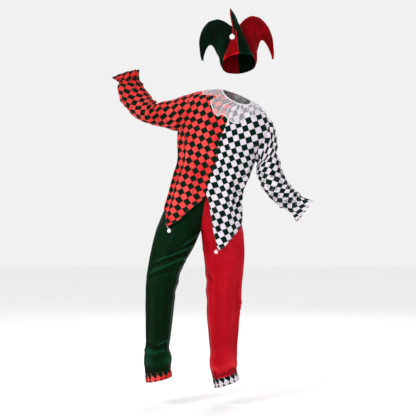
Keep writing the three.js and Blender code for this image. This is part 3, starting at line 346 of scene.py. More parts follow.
def satin(name, colour, deep, fold_highlight, rough):
    finish = Finish(name)
    across, along = finish.flat_cloth()
    place = finish.place()
    twill = ((across * 0.35 + along) * (2 * math.pi / 0.0009)).sine()
    cloudy = finish.noise(place, 7, 3).between(0.3, 0.7)
    slub = finish.noise(place, 260, 2).between(0.35, 0.7)
    edge = finish.attribute("edge")
    base = finish.mixed(cloudy * 0.6 + edge * 0.2, colour, deep)
    # Painted shade in the fold troughs and painted highlight on the ridges.
    base = finish.painted_fold_shading(base, 0.6, 0.4, fold_highlight)
    soft = finish.noise(place, 30, 3, 0.5)
    grain = finish.bump(twill, 0.00003)
    normal = finish.bump(soft, 0.0028, grain)
    return finish.set(base_color=base, roughness=rough + slub * 0.08, normal=normal,
                      anisotropic=0.35, specular_ior_level=0.04)


SATINS = {side: [satin(f"{side}_satin", *tones, SATIN_ROUGH),
                 satin(f"{side}_satin_wrong_side", *tones, WRONG_SIDE_ROUGH)]
          for side, tones in SATIN_TONES.items()}
print("satins:", ", ".join(SATINS))

# %% [markdown]
# ## Velvet
# Velvet is a short upright pile. It is darkest where the eye looks straight into
# the pile and brightest at its edges, which the sheen of the shader does. Along
# its seams and brim the colour is also painted lighter, a painted sheen, and its
# folds get painted shade and highlight. Where fingers have brushed it, the nap
# lies over in pale patches with soft borders.

# %% Velvet
def velvet(name, colour, brushed_and_edge_sheen, glow, inside=False):
    finish = Finish(name)
    place = finish.place()
    pile = finish.noise(place, 1400, 2, 0.6)
    brushing = finish.noise(place, 16, 3, 0.5).between(0.42, 0.72)
    edge = finish.attribute("edge")
    # Lighter along seams and brim, a painted sheen, on top of the pale patches where the
    # nap lies over.
    base = finish.mixed(brushing * 0.3 + edge * 0.7, colour, brushed_and_edge_sheen)
    # Painted shade in the fold troughs and painted highlight on the ridges.
    base = finish.painted_fold_shading(base, 0.35, 0.1, brushed_and_edge_sheen)
    depth = finish.bump(pile, 0.0004)
    normal = finish.bump(finish.noise(place, 34, 2), 0.002, depth)
    return finish.set(base_color=base, roughness=0.82 + brushing * 0.1, normal=normal,
                      sheen_weight=0.02 if inside else 0.3, sheen_roughness=0.3,
                      sheen_tint=glow, specular_ior_level=0.05)


red_velvet = velvet("red_velvet", VELVET_RED, tone(214, 4, 30), tone(255, 30, 44))
green_velvet = velvet("green_velvet", VELVET_GREEN, tone(4, 52, 34), tone(40, 130, 90))
red_lining = velvet("red_velvet_back", VELVET_RED, VELVET_RED, CLEAN_WHITE, True)
green_lining = velvet("green_velvet_back", VELVET_GREEN, VELVET_GREEN, CLEAN_WHITE, True)

# %% [markdown]
# ## Organza, binding, baubles and thread
# Organza is a net of stiff fine yarns. It is fuller along its stitched edge, and on
# the ridges of its pleats and flutes it is painted fuller and whiter, a painted
# highlight. The baubles are smooth white balls with a faint seam.

# %% Organza, binding, bauble and thread
ORGANZA_COVER = 0.12
ORGANZA_YARN = 0.0011


def organza(name):
    finish = Finish(name)
    across, along = finish.flat_cloth()
    place = finish.place()
    yarns = weave_height(across, along, ORGANZA_YARN).size()
    edge = finish.attribute("edge")
    cloudy = finish.noise(place, 30, 2).between(0.3, 0.7)
    # Painted highlight: the cover rises on the ridges of pleats and flutes, which shows
    # them whiter.
    ridges = finish.attribute("fold").between(0.1, 0.9)
    cover = ORGANZA_COVER + yarns * 0.1 + cloudy * 0.05 + edge * 0.6 + ridges * 0.6
    base = finish.mixed(cloudy * 0.4, SHEER_WHITE, tone(226, 220, 230))
    normal = finish.bump(yarns, 0.00005)
    return finish.set(base_color=base, roughness=0.42 + cloudy * 0.1, alpha=cover,
                      normal=normal, sheen_weight=0.3, specular_ior_level=0.4)


def plain_weave(name, colour, deep, pitch):
    finish = Finish(name)
    place = finish.place()
    x, y = finish.split(place)
    weave = weave_height(x, y, pitch)
    cloudy = finish.noise(place, 60, 3).between(0.3, 0.7)
    base = finish.mixed(cloudy * 0.7, colour, deep)
    return finish.set(base_color=base, roughness=0.75 + cloudy * 0.1,
                      normal=finish.bump(weave, 0.00008), sheen_weight=0.2)


def bauble_gloss(name):
    finish = Finish(name)
    place = finish.place()
    specks = finish.noise(place, 300, 2).between(0.6, 0.8)
    base = finish.mixed(specks * 0.5, CLEAN_WHITE, tone(222, 220, 226))
    rub = finish.noise(place, 120, 3).between(0.4, 0.7)
    return finish.set(base_color=base, roughness=0.22 + rub * 0.18,
                      normal=finish.bump(rub, 0.0001), coat_weight=0.4,
                      coat_roughness=0.2)


ruff_organza = organza("white_organza")
white_binding = plain_weave("white_binding_cotton", CLEAN_WHITE, tone(224, 220, 226),
                            0.0008)
white_thread = plain_weave("white_thread", CLEAN_WHITE, tone(214, 212, 218), 0.0005)
red_thread = plain_weave("red_thread", tone(150, 20, 34), tone(110, 10, 24), 0.0005)
bauble_white = bauble_gloss("bauble_white")

backdrop = Finish("pale_floor")
floor_mark = backdrop.noise(backdrop.place(), 3, 2).between(0.3, 0.7)
floor_tone = backdrop.mixed(floor_mark, tone(246, 246, 247), tone(248, 248, 249))
floor_mesh.materials.append(backdrop.set(base_color=floor_tone, roughness=0.9))
print("materials:", len(bpy.data.materials))

# %% [markdown]
# ## Short tables that describe a form
# A garment's form is a stack of named sections. Each table gives a few of them,
# and the reader below draws a smooth curve through every column that never
# swings past its rows. It works on whole grids of places at once.

# %% Tables and small helpers
def scaled_rows(columns, lengths, rows):
    """Rows as numbers in metres and degrees. Lengths are written in millimetres."""
    names = columns.split()
    scale = [MM if name in lengths.split() else 1.0 for name in names]
    return names, np.array(rows, float) * scale


def named_rows(columns, lengths, rows):
    names, values = scaled_rows(columns, lengths, rows)
    return [SimpleNamespace(**dict(zip(names, row))) for row in values]


def steady_slopes(at, values):
    """Slope of every column at every row, with no overshoot between rows."""
    gap = np.diff(at)[:, None]
    rise = np.diff(values, axis=0) / gap
    before, after = rise[:-1], rise[1:]
    steady = before * after > 0
    safe_before = np.where(steady, before, 1)
    safe_after = np.where(steady, after, 1)
    weight_before = 2 * gap[1:] + gap[:-1]
    weight_after = gap[1:] + 2 * gap[:-1]
    middle = weight_before / safe_before + weight_after / safe_after
    inner = np.where(steady, (weight_before + weight_after) / middle, 0)
    return np.vstack([rise[:1], inner, rise[-1:]])


class Table:
    """Named columns that can be read at any place along the first one."""

    def __init__(self, columns, lengths, rows):
        names, values = scaled_rows(columns, lengths, rows)
        self.at, self.values, self.names = values[:, 0], values[:, 1:], names[1:]
        self.slopes = steady_slopes(self.at, self.values)

    def __call__(self, place):
        at = self.at
        inside = np.clip(np.asarray(place, float), at[0], at[-1])
        i = np.clip(np.searchsorted(at, inside) - 1, 0, len(at) - 2)
        gap = (at[i + 1] - at[i])[..., None]
        part = (inside - at[i])[..., None] / gap
        rest = 1 - part
        start = self.values[i] * (1 + 2 * part) + self.slopes[i] * gap * part
        end = self.values[i + 1] * (3 - 2 * part) - self.slopes[i + 1] * gap * rest
        value = start * rest ** 2 + end * part ** 2
        return SimpleNamespace(**{n: value[..., k] for k, n in enumerate(self.names)})


def cosine(degrees):
    return np.cos(np.radians(degrees))


def sine(degrees):
    return np.sin(np.radians(degrees))


def mix(start, end, part):
    return start + (end - start) * part


def ease(part):
    clamped = np.clip(part, 0, 1)
    return clamped * clamped * (3 - 2 * clamped)


def turn_between(start, end):
    return (np.asarray(end - start, float) + 180) % 360 - 180


def unit(vectors):
    length = np.linalg.norm(vectors, axis=-1, keepdims=True)
    return vectors / np.maximum(length, 1e-12)


def facing_of(surface, u, v, turned, step_u, step_v):
    """Direction in which a surface faces. turned is 1 or -1."""
    right = surface(u + step_u, v) - surface(u - step_u, v)
    downward = surface(u, v + step_v) - surface(u, v - step_v)
    return unit(np.cross(right, downward)) * turned


def fold_height(folds, turn, down, fade):
    """Height of long folds that run down a garment."""
    height = 0
    for fold in folds:
        part = np.clip((down - fold.top) / (fold.end - fold.top), 0, 1)
        aside = turn_between(fold.turn + fold.drift * part, turn) / fold.spread
        grown = ease((down - fold.top) / fade) * ease((fold.end + fade - down) / fade)
        height = height + fold.rise * np.exp(-aside * aside) * grown
    return height


def ring_creases(creases, turn, t):
    """Height of creases that follow a ring of a tube."""
    height = 0
    for crease in creases:
        along = (t - crease.t) / crease.width
        round_it = 0.5 + 0.5 * cosine(turn - crease.side)
        height = height + crease.rise * np.exp(-along * along) * round_it ** 2
    return height


def oval_point(place, turn, half, depth, y=0.0, swell=0.0):
    """Point of an oval section that stands square to a leaning across direction."""
    fill = 1 + swell * sine(2 * turn) ** 2
    across = half * cosine(turn) * fill
    x = place.x + across * cosine(place.lean)
    z = place.z + across * sine(place.lean)
    return np.stack(np.broadcast_arrays(x, y - depth * sine(turn) * fill, z), -1)


# %% [markdown]
# ## From a grid of points to a piece of cloth
# Every piece is a grid: rows down the cloth and columns across it. The outer face
# lies on the solid's form, the inner face one cloth thickness behind it, and
# narrow strips close the edges. The same grid gives the UV map: V is the way down
# the cloth and U the way across it, both in metres of flat cloth. Creases are
# then laid on that flat cloth as a short table of lines with a width and a rise,
# and lift or sink the surface along its own facing.

# %% Flat cloth, creases and walls
# Tone of the painted fold shade: the lift at which it is full, and its smoothing.
FOLD_PAINT_FULL = 2.2 * MM
FOLD_PAINT_SMOOTHING = 14
SHARP_ANGLE = 60
CREASE_FADE = 0.3
RIDGE_SHARPNESS = 3
FINER_SCALE = 2.1
FINER_SHARE = 0.45
FINER_OFFSET = Vector((7, 3, 5))
CRUSH_LEVEL = 0.3
LEAST_FILL = 0.3
SEAM_REACH = 0.16 * MM
SEAM_PUFF = (5 * MM, 1.1 * MM)  # reach from the seam, and rise


def walked(points, along):
    """Distance walked over a grid from its first column, apart from what goes down."""
    step = np.diff(points, axis=1)
    sideways = (step ** 2).sum(-1) - np.diff(along, axis=1) ** 2
    across = np.zeros(along.shape)
    across[:, 1:] = np.cumsum(np.sqrt(np.maximum(sideways, 0)), axis=1)
    return across


def walked_down(path):
    """Distance walked along a path of points from its start."""
    step = np.linalg.norm(np.diff(path, axis=0), axis=1)
    return np.concatenate([[0], np.cumsum(step)])


def line_creases(creases, across, along, depth=1.0):
    """Height of soft ridges and troughs drawn as lines on the flat cloth."""
    height = np.zeros(across.shape)
    for c in creases:
        run_u, run_v = c.to_u - c.from_u, c.to_v - c.from_v
        length = math.hypot(run_u, run_v)
        part = ((across - c.from_u) * run_u + (along - c.from_v) * run_v) / length ** 2
        off = ((across - c.from_u) * run_v - (along - c.from_v) * run_u) / length
        off = off - c.bow * 4 * part * (1 - part)
        ends = ease(part / CREASE_FADE) * ease((1 - part) / CREASE_FADE)
        height += c.rise * np.exp(-((off / c.width) ** 2)) * ends
    return height * depth


def crease_rows(rows):
    columns = "from_u from_v to_u to_v width rise bow"
    return named_rows(columns, columns, rows)


def rumple(points, scale, height):
    """Small uneven waves of limp cloth, the same on every run."""
    flat = points.reshape(-1, 3) * scale
    values = [noise.noise(Vector(p)) for p in flat]
    return height * np.array(values).reshape(points.shape[:-1])


def seam_puff(distance, reach, rise):
    """Cloth that rises gently beside a seam, which itself stays where it is."""
    return rise * (1 - np.exp(-((distance / reach) ** 2)))


def meet_neighbours(outer):
    """Moves both side edges out a little, so that panels meet at their seams."""
    for column, beside in ((0, 1), (-1, -2)):
        outer[:, column] -= unit(outer[:, beside] - outer[:, column]) * SEAM_REACH


def ridges(places):
    """1 on the sharp ridges of an even noise, falling to 0 beside them."""
    return np.array([1 - min(1, RIDGE_SHARPNESS * abs(noise.noise(p))) for p in places])


def crushed(points, scale, height):
    """Sharp uneven ridges of cloth that has been pushed together."""
    places = [Vector(p) for p in points.reshape(-1, 3) * scale]
    finer = [p * FINER_SCALE + FINER_OFFSET for p in places]
    mixed = ridges(places) ** 2 + FINER_SHARE * ridges(finer) ** 2
    return height * (mixed.reshape(points.shape[:-1]) - CRUSH_LEVEL)


def edge_mask(across, along, sides, reach):
    """1 at the cut edges that are named, falling to 0 at reach from them."""
    near = np.full(across.shape, reach)
    rows = {"top": along - along[:1], "bottom": along[-1:] - along,
            "first": across - across[:, :1], "last": across[:, -1:] - across}
    for side in sides:
        near = np.minimum(near, np.abs(rows[side]))
    return 1 - near / reach


def add_object(mesh):
    piece = bpy.data.objects.new(mesh.name, mesh)
    scene.collection.objects.link(piece)
    return piece


def painted_fold_tone(lift):
    """From -1 in the troughs to 1 on the ridges of a grid of cloth, for painted fold
    shade and highlight.
    """
    around = lift.copy()
    for _ in range(FOLD_PAINT_SMOOTHING):
        padded = np.pad(around, 1, mode="edge")
        around = (padded[:-2, 1:-1] + padded[2:, 1:-1] + padded[1:-1, :-2]
                  + padded[1:-1, 2:] + around) / 5
    return np.clip((lift - around) / FOLD_PAINT_FULL, -1, 1)


def cloth_piece(name, outer, facing, flat, thickness, finishes, edge, fold, wrap=False):
    """Closed thin cloth. flat is the UV grid, with one column more if it wraps."""
    rows, columns = outer.shape[:2]
    inner = outer - facing * thickness
    ids = np.arange(rows * columns).reshape(rows, columns)
    if wrap:
        ids = np.concatenate([ids, ids[:, :1]], axis=1)
    layer = rows * columns

    def around(grid):
        return [grid[:-1, :-1], grid[1:, :-1], grid[1:, 1:], grid[:-1, 1:]]

    def strip(first, second):
        return [first, second, second + layer, first + layer]

    def stacked(parts):
        return np.stack([part.ravel() for part in parts], 1)

    def stacked_flat(parts):
        return np.stack([part.reshape(-1, 2) for part in parts], 1)

    face = stacked(around(ids))
    corner = stacked_flat(around(flat))
    a, b, d = (outer.reshape(-1, 3)[face[:, k]] for k in (0, 1, 3))
    looks = (np.cross(b - a, d - a) * facing.reshape(-1, 3)[face[:, 0]]).sum()
    strips = [strip(ids[0, 1:], ids[0, :-1]), strip(ids[-1, :-1], ids[-1, 1:])]
    strip_flats = [strip_flat(flat[0, 1:], flat[0, :-1]),
                   strip_flat(flat[-1, :-1], flat[-1, 1:])]
    if not wrap:
        strips += [strip(ids[:-1, 0], ids[1:, 0]), strip(ids[1:, -1], ids[:-1, -1])]
        strip_flats += [strip_flat(flat[:-1, 0], flat[1:, 0]),
                        strip_flat(flat[1:, -1], flat[:-1, -1])]
    faces = [face, face[:, ::-1] + layer] + [stacked(s) for s in strips]
    uvs = [corner, corner[:, ::-1]] + [np.stack(s, 1) for s in strip_flats]
    if looks < 0:
        faces = [f[:, ::-1] for f in faces]
        uvs = [u[:, ::-1] for u in uvs]
    slots = np.concatenate([np.full(len(f), int(k == 1)) for k, f in enumerate(faces)])
    faces, uvs = np.concatenate(faces), np.concatenate(uvs)

    mesh = bpy.data.meshes.new(name + "_cloth")
    points = np.concatenate([outer.reshape(-1, 3), inner.reshape(-1, 3)])
    mesh.from_pydata(points.tolist(), [], faces.tolist())
    layout = mesh.uv_layers.new(name="cloth").data
    layout.foreach_set("uv", uvs.astype(np.float32).ravel())
    # The fold attribute carries the tone for painted shade in fold troughs and painted
    # highlight on ridges.
    for label, values in (("edge", edge), ("fold", fold)):
        mesh.attributes.new(label, "FLOAT", "POINT").data.foreach_set(
            "value", np.tile(values.ravel(), 2).astype(np.float32))
    for finish in finishes:
        mesh.materials.append(finish)
    mesh.polygons.foreach_set("material_index", slots)
    mesh.polygons.foreach_set("use_smooth", np.ones(len(slots), bool))
    mesh.set_sharp_from_angle(angle=math.radians(SHARP_ANGLE))
    mesh.update()
    return add_object(mesh)


def strip_flat(first, second):
    return [first, second, second, first]


def flat_area(flat):
    """Area of the flat cut that a UV grid covers."""
    a, b, c, d = flat[:-1, :-1], flat[1:, :-1], flat[1:, 1:], flat[:-1, 1:]
    one, other = c - a, d - b
    return abs((one[..., 0] * other[..., 1] - one[..., 1] * other[..., 0]).sum() / 2)


def show(piece, node=None):
    """Fixes a piece to the costume and hides the solid it stands for, if one is given."""
    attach(piece, "root")
    if node:
        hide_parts(node)


def declare(piece, node, flat, area=None):
    """Shows a sheet in place of its solid and prints the size and area of its flat cut
    and its faces.
    """
    show(piece, node)
    width = float(np.ptp(flat[..., 0]))
    length = float(np.ptp(flat[..., 1]))
    cut = flat_area(flat) if area is None else area
    cut = min(max(cut, LEAST_FILL * width * length), width * length)
    print(f"{piece.name}: cut {width:.3f} x {length:.3f} m, {cut:.4f} m2,",
          f"{len(piece.data.polygons)} faces")


# %% [markdown]
# ## The tunic body
# Four panels of check cotton, red to the left and white to the right, front and
# back, with a split at the middle front and back and a long point on each half.
# The sections lean, because the pose bends to one side. Long folds hang from
# the armpits, the waist bunches on the bent side, and both halves fall in soft
# flutes at the hem. The back is not seen, so it has folds of the same kind.

# %% Tunic tables
COTTON = 0.7 * MM
SHOULDER_POINT = 60 * MM
ARMPIT = {"red": 260 * MM, "white": 288 * MM}
ARMPIT_MIDDLE = 274 * MM
TIP_SHARE = {"red": 0.5, "white": 0.311}
ARMHOLE_TURN = 32
BACK_DIP = 0.3
FOLD_FADE = 60 * MM

BODY = Table("down x z lean red white front back dip swell",
             "down x z red white front back dip", [
    (0, 1, 1, -21, 82, 82, 76, 70, 46, 0),
    (26, -14, -20, -18, 146, 146, 96, 92, 36, 0),
    (60, -30, -49, -17, 206, 196, 112, 108, 26, 0.01),
    (144, -50, -132, -17, 245, 236, 124, 120, 10, 0.02),
    (259, -88, -241, -18, 217, 203, 128, 120, 2, 0.02),
    (327, -101, -306, -16, 202, 190, 126, 116, 0, 0.02),
    (377, -109, -356, -16, 191, 182, 122, 114, 0, 0.03),
    (416, -123, -393, -15, 182, 178, 120, 116, 0, 0.04),
    (456, -138, -430, -15, 181, 179, 122, 120, 0, 0.05),
    (507, -149, -480, -14, 184, 183, 128, 126, 0, 0.06),
    (556, -156, -528, -13, 189, 188, 133, 131, 0, 0.08),
    (608, -164, -580, -12, 195, 195, 138, 138, 0, 0.11),
    (690, -181, -660, -12, 200, 205, 144, 148, 0, 0.13),
    (780, -199, -748, -12, 204, 216, 150, 158, 0, 0.14),
])

HEM = Table("turn down", "down", [
    (0, 585), (12, 590), (22, 600), (28, 643), (39, 683), (51, 727), (62, 772),
    (71, 698), (78, 629), (85, 556), (90, 523), (95, 551), (103, 583), (110, 613),
    (117, 650), (126, 690), (135, 712), (144, 660), (162, 620), (180, 606),
])

BODY_FOLDS = named_rows("turn drift top end spread rise", "top end rise", [
    (164, -14, 250, 700, 8, 7), (148, -6, 280, 720, 7, -5), (134, 2, 230, 700, 8, 6),
    (117, 4, 330, 690, 8, -4), (104, 2, 360, 640, 7, 4), (74, -6, 380, 780, 7, -4),
    (60, 0, 300, 780, 8, 6), (42, -4, 340, 760, 8, -5), (24, -4, 300, 720, 8, 6),
    (4, 2, 400, 650, 8, -4), (202, 8, 270, 700, 8, 6), (222, 4, 300, 720, 8, -5),
    (240, 0, 240, 700, 9, 7), (262, 2, 260, 640, 8, -5), (284, -2, 280, 640, 8, 5),
    (304, 2, 260, 760, 9, -5), (324, 2, 320, 740, 8, 6), (344, -4, 300, 700, 8, -4),
])

# Creases on the flat cloth of each panel, in millimetres from the middle seam (u)
# and down the spine from the neck (v).
PANEL_CREASES = {
    "front_red": crease_rows([
        (205, 255, 176, 500, 7, 3.4, 6), (188, 250, 150, 430, 6, -2.4, 4),
        (222, 262, 212, 470, 6, 2.6, -5), (168, 470, 172, 640, 7, 3.0, 5),
        (232, 240, 160, 292, 6, -2.6, 4), (236, 216, 150, 236, 6, 2.4, -4),
        (228, 190, 120, 176, 6, -1.8, 3), (120, 330, 92, 560, 8, 2.0, 5),
        (70, 420, 60, 560, 7, -1.6, 3), (210, 420, 150, 452, 6, -2.2, 4),
        (208, 446, 140, 486, 5, 2.2, -3), (40, 300, 34, 470, 7, 1.4, 2),
    ]),
    "front_white": crease_rows([
        (206, 300, 150, 380, 6, 2.6, 5), (214, 330, 140, 420, 6, -2.4, 4),
        (100, 400, 128, 580, 6, -3.0, -6), (112, 396, 142, 570, 5, 3.0, -6),
        (176, 470, 150, 560, 6, 3.2, 4), (190, 474, 172, 566, 5, -3.0, 3),
        (208, 476, 196, 570, 5, 3.0, 2), (224, 440, 150, 470, 5, -2.4, 3),
        (220, 410, 146, 440, 5, 2.2, 3), (230, 236, 160, 268, 6, -2.2, 4),
        (226, 206, 150, 220, 6, 1.8, -3), (60, 440, 52, 640, 7, 1.8, 4),
        (86, 560, 100, 700, 6, -2.0, 4),
    ]),
    "back_red": crease_rows([
        (210, 250, 150, 330, 6, 2.6, 5), (222, 276, 140, 400, 6, -2.4, 5),
        (190, 240, 120, 250, 6, -1.8, 3), (150, 380, 130, 590, 8, 2.6, 6),
        (92, 340, 80, 560, 8, -2.0, 4), (200, 430, 130, 466, 6, 2.2, 4),
        (204, 456, 120, 500, 5, -2.0, 3), (48, 300, 40, 540, 8, 1.6, 3),
    ]),
    "back_white": crease_rows([
        (204, 296, 140, 380, 6, 2.6, 5), (214, 330, 130, 430, 6, -2.4, 5),
        (216, 420, 120, 456, 5, 2.4, 4), (212, 446, 110, 492, 5, -2.4, 4),
        (206, 476, 128, 520, 5, 2.2, 3), (120, 500, 128, 650, 7, 2.2, 5),
        (76, 380, 66, 580, 8, -1.8, 4), (40, 460, 36, 620, 7, 1.4, 2),
    ]),
}


# %% Tunic surface
def body_point(turn, down):
    row = BODY(down)
    fold = fold_height(BODY_FOLDS, turn, down, FOLD_FADE)
    half = np.where(cosine(turn) < 0, row.red, row.white) + fold
    depth = np.where(sine(turn) > 0, row.front, row.back) + fold
    point = oval_point(row, turn, half, depth, 0.0, row.swell)
    point[..., 2] -= row.dip * sine(turn) * np.where(sine(turn) > 0, 1, BACK_DIP)
    return point


def body_facing(turn, down):
    return facing_of(body_point, turn, down, 1, 0.5, 0.5 * MM)


def hem_down(turn):
    return HEM(np.where(turn > 180, 360 - turn, turn)).down


def armhole_place(side, ring):
    """Place on the body of the armhole edge. ring 0 is the shoulder, 180 the armpit."""
    middle = (SHOULDER_POINT + ARMPIT[side]) / 2
    down = middle - (ARMPIT[side] - middle) * cosine(ring)
    turned = ARMHOLE_TURN * sine(ring)
    return (180 - turned if side == "red" else turned), down


def grain_rows(rows):
    return named_rows("start pull slant twist bow give", "start", rows)


# How the print lies on each panel: across (first row) and along (second row) as
# read on the flat cloth, moved by start and then pulled, slanted, twisted and bowed.
GRAIN = {
    "front_red": grain_rows([(30.4, 1.03, -0.01, -0.22, 0.06, 0.23),
                             (7.6, 0.94, -0.01, 0.22, -0.34, 0.08)]),
    "front_white": grain_rows([(39.7, 1.13, 0.144, 0.05, -0.08, -0.85),
                               (9.2, 0.96, -0.211, -0.09, 0.38, 0.07)]),
    "back_red": grain_rows([(30.4, 1, 0, 0, 0, 0), (7.6, 1, 0, 0, 0, 0)]),
    "back_white": grain_rows([(-30.4, 1, 0, 0, 0, 0), (7.6, 1, 0, 0, 0, 0)]),
}


def print_lie(rows, across, along):
    lies = []
    for row, own, other in zip(rows, (across, along), (along, across)):
        lie = row.pull * own + row.slant * other + row.twist * own * other
        lies.append(lie + row.bow * other ** 2 + row.give * own ** 2 + row.start)
    return np.stack(lies, -1)


# %% Tunic panels
PANEL_COLUMNS = 56
SHOULDER_ROWS = 10
ARMHOLE_ROWS = 40
SKIRT_ROWS = 84
PANEL_CREASE_DEPTH = 1.5
PANEL_RUMPLE = (22, 1.1 * MM)  # waves in a metre, and height
RUMPLE_START = 120 * MM
SIDE_CALM = 14 * MM
HEM_CALM = 30 * MM
HEM_REST = 8 * MM
HEM_TURNING = 12 * MM


def panel_shares(side):
    """How far across the panel each column lies, with one column on the hem point."""
    inner = round(PANEL_COLUMNS * TIP_SHARE[side])
    first = np.linspace(0, TIP_SHARE[side], inner + 1)
    second = np.linspace(TIP_SHARE[side], 1, PANEL_COLUMNS - inner + 1)
    return np.concatenate([first, second[1:]])


def panel_places(side, seam_turn, side_turn, ring_sign):
    """Turn and distance down the spine of every point of one panel."""
    share = panel_shares(side)
    whole = float(turn_between(seam_turn, side_turn))
    turns, downs = [], []
    for row in range(SHOULDER_ROWS):
        turns.append(seam_turn + whole * share)
        downs.append(np.full(share.shape, SHOULDER_POINT * row / SHOULDER_ROWS))
    for row in range(ARMHOLE_ROWS + 1):
        part = row / ARMHOLE_ROWS
        edge_turn, edge_down = armhole_place(side, 180 * part * ring_sign)
        turned = float(turn_between(seam_turn, edge_turn))
        turns.append(seam_turn + turned * share)
        downs.append(mix(mix(SHOULDER_POINT, ARMPIT_MIDDLE, part), edge_down, share))
    for row in range(1, SKIRT_ROWS + 1):
        turn = seam_turn + whole * share
        armpit = mix(ARMPIT_MIDDLE, ARMPIT[side], share)
        turns.append(turn)
        downs.append(mix(armpit, hem_down(turn % 360), row / SKIRT_ROWS))
    return np.array(turns), np.array(downs)


def panel_flat(points, turn, down):
    """Flat cloth of a panel: the way down the spine and the way from the seam."""
    dip = BODY(down).dip * sine(turn) * np.where(sine(turn) > 0, 1, BACK_DIP)
    along = down + dip
    return np.stack([walked(points, along), along], -1)


def body_panel(side, where, seam_turn, side_turn, ring_sign, finishes):
    name = f"tunic_{where}_{side}"
    turn, down = panel_places(side, seam_turn, side_turn, ring_sign)
    base = body_point(turn, down)
    facing = body_facing(turn, down)
    flat = panel_flat(base, turn, down)
    across, along = flat[..., 0], flat[..., 1]
    from_side = across[:, -1:] - across
    from_hem = down[-1:] - down
    creases = PANEL_CREASES[f"{where}_{side}"]
    lift = line_creases(creases, across, along, PANEL_CREASE_DEPTH)
    lift += rumple(base, *PANEL_RUMPLE) * ease(along / RUMPLE_START)
    lift *= ease(from_side / SIDE_CALM) * ease((from_hem + HEM_REST) / HEM_CALM)
    lift += seam_puff(np.minimum(across, from_side), *SEAM_PUFF)
    outer = base + facing * lift[..., None]
    meet_neighbours(outer)
    edge = edge_mask(across, along, ["bottom"], 5 * MM)
    flat = print_lie(GRAIN[f"{where}_{side}"], across, along)
    piece = cloth_piece(name, outer, facing, flat, COTTON, finishes, edge,
                        painted_fold_tone(lift))
    declare(piece, name, flat)
    return outer, facing, flat


RED_COTTON = [red_check, red_check_inside]
WHITE_COTTON = [white_check, white_check_inside]
panels = {
    # colour, place, turns of the middle and side seams, way round the armhole
    "front_red": body_panel("red", "front", 90, 180, 1, RED_COTTON),
    "front_white": body_panel("white", "front", 90, 0, 1, WHITE_COTTON),
    "back_red": body_panel("red", "back", 270, 180, -1, RED_COTTON),
    "back_white": body_panel("white", "back", 270, 360, -1, WHITE_COTTON),
}

# %% [markdown]
# ## The sleeves
# Each sleeve is one wide tube of check cotton with its seam along the underside.
# It is sewn into the armhole, breaks into creases at the elbow, and an elastic
# draws it in at the wrist, so that its end stands out as a small ruffle. The
# rings of the tube come from a table. Near the armhole they ease into the curve
# of the armhole itself, so the sleeve meets the body without a step.

# %% Sleeve tables
ARMHOLE_BLEND = 0.3
CREASE_START = 0.1
FRILL_WAVES = 9
SLEEVE_COLUMNS = 96
SLEEVE_ROWS = 110
SLEEVE_END = 1.2
SLEEVE_RUMPLE = (26, 1.4 * MM)
SLEEVE_CRUSH = (19, 6.5 * MM)
SLEEVE_CALM = 0.08
CREASES_END = 1.02
WRIST_GATHERS = 26
GATHER_RISE = 2.4 * MM

RING_COLUMNS = "t x y z lean across deep wave"
RING_LENGTHS = "x y z across deep wave"
SLEEVE = {
    "red": Table(RING_COLUMNS, RING_LENGTHS, [
        (0, -262, 0, -83, 71, 92, 66, 0), (0.13, -316, -5, -90, 76, 75, 68, 0),
        (0.26, -371, -15, -91, 72, 64, 64, 0), (0.4, -423, -32, -86, 56, 57, 62, 0),
        (0.52, -466, -48, -60, 30, 64, 64, 0), (0.64, -493, -66, -26, 14, 70, 64, 0),
        (0.76, -512, -86, 4, 8, 69, 60, 0), (0.88, -525, -106, 36, 3, 62, 55, 0),
        (1, -530, -122, 62, 8, 47, 44, 3), (1.1, -537, -131, 78, 14, 52, 49, 6),
        (1.2, -546, -140, 96, 17, 62, 57, 9),
    ]),
    "white": Table(RING_COLUMNS, RING_LENGTHS, [
        (0, 126, 0, -216, 74, 114, 64, 0), (0.13, 146, -5, -244, 66, 101, 62, 0),
        (0.26, 150, -10, -283, 53, 83, 64, 0), (0.4, 153, -21, -326, 38, 67, 63, 0),
        (0.52, 158, -34, -372, 26, 60, 62, 0), (0.64, 179, -52, -423, 20, 61, 62, 0),
        (0.76, 213, -76, -478, 29, 56, 58, 0), (0.88, 250, -100, -512, 43, 53, 52, 0),
        (1, 290, -121, -545, 57, 43, 42, 3), (1.1, 308, -130, -560, 56, 49, 47, 6),
        (1.2, 328, -139, -578, 53, 58, 54, 9),
    ]),
}
SLEEVE_TURNED = {"red": -1, "white": 1}

RING_CREASES = named_rows("t side width rise", "rise", [
    (0.08, 60, 0.04, 4), (0.2, 150, 0.04, -4), (0.3, 40, 0.035, 4),
    (0.4, 10, 0.035, -8), (0.49, 340, 0.035, 5), (0.58, 80, 0.035, -4),
    (0.68, 200, 0.04, 5), (0.8, 120, 0.04, -4), (0.9, 250, 0.04, 4),
])

# How crushed the cloth is down each sleeve.
CRUSH = {
    "red": Table("t part", "", [(0, 0.15), (0.3, 0.4), (0.5, 0.55), (0.7, 0.45),
                                (0.86, 0.8), (0.96, 1), (1.2, 0.4)]),
    "white": Table("t part", "", [(0, 0.15), (0.4, 0.4), (0.55, 0.8), (0.7, 1),
                                  (0.9, 1.1), (0.96, 1.1), (1.2, 0.4)]),
}

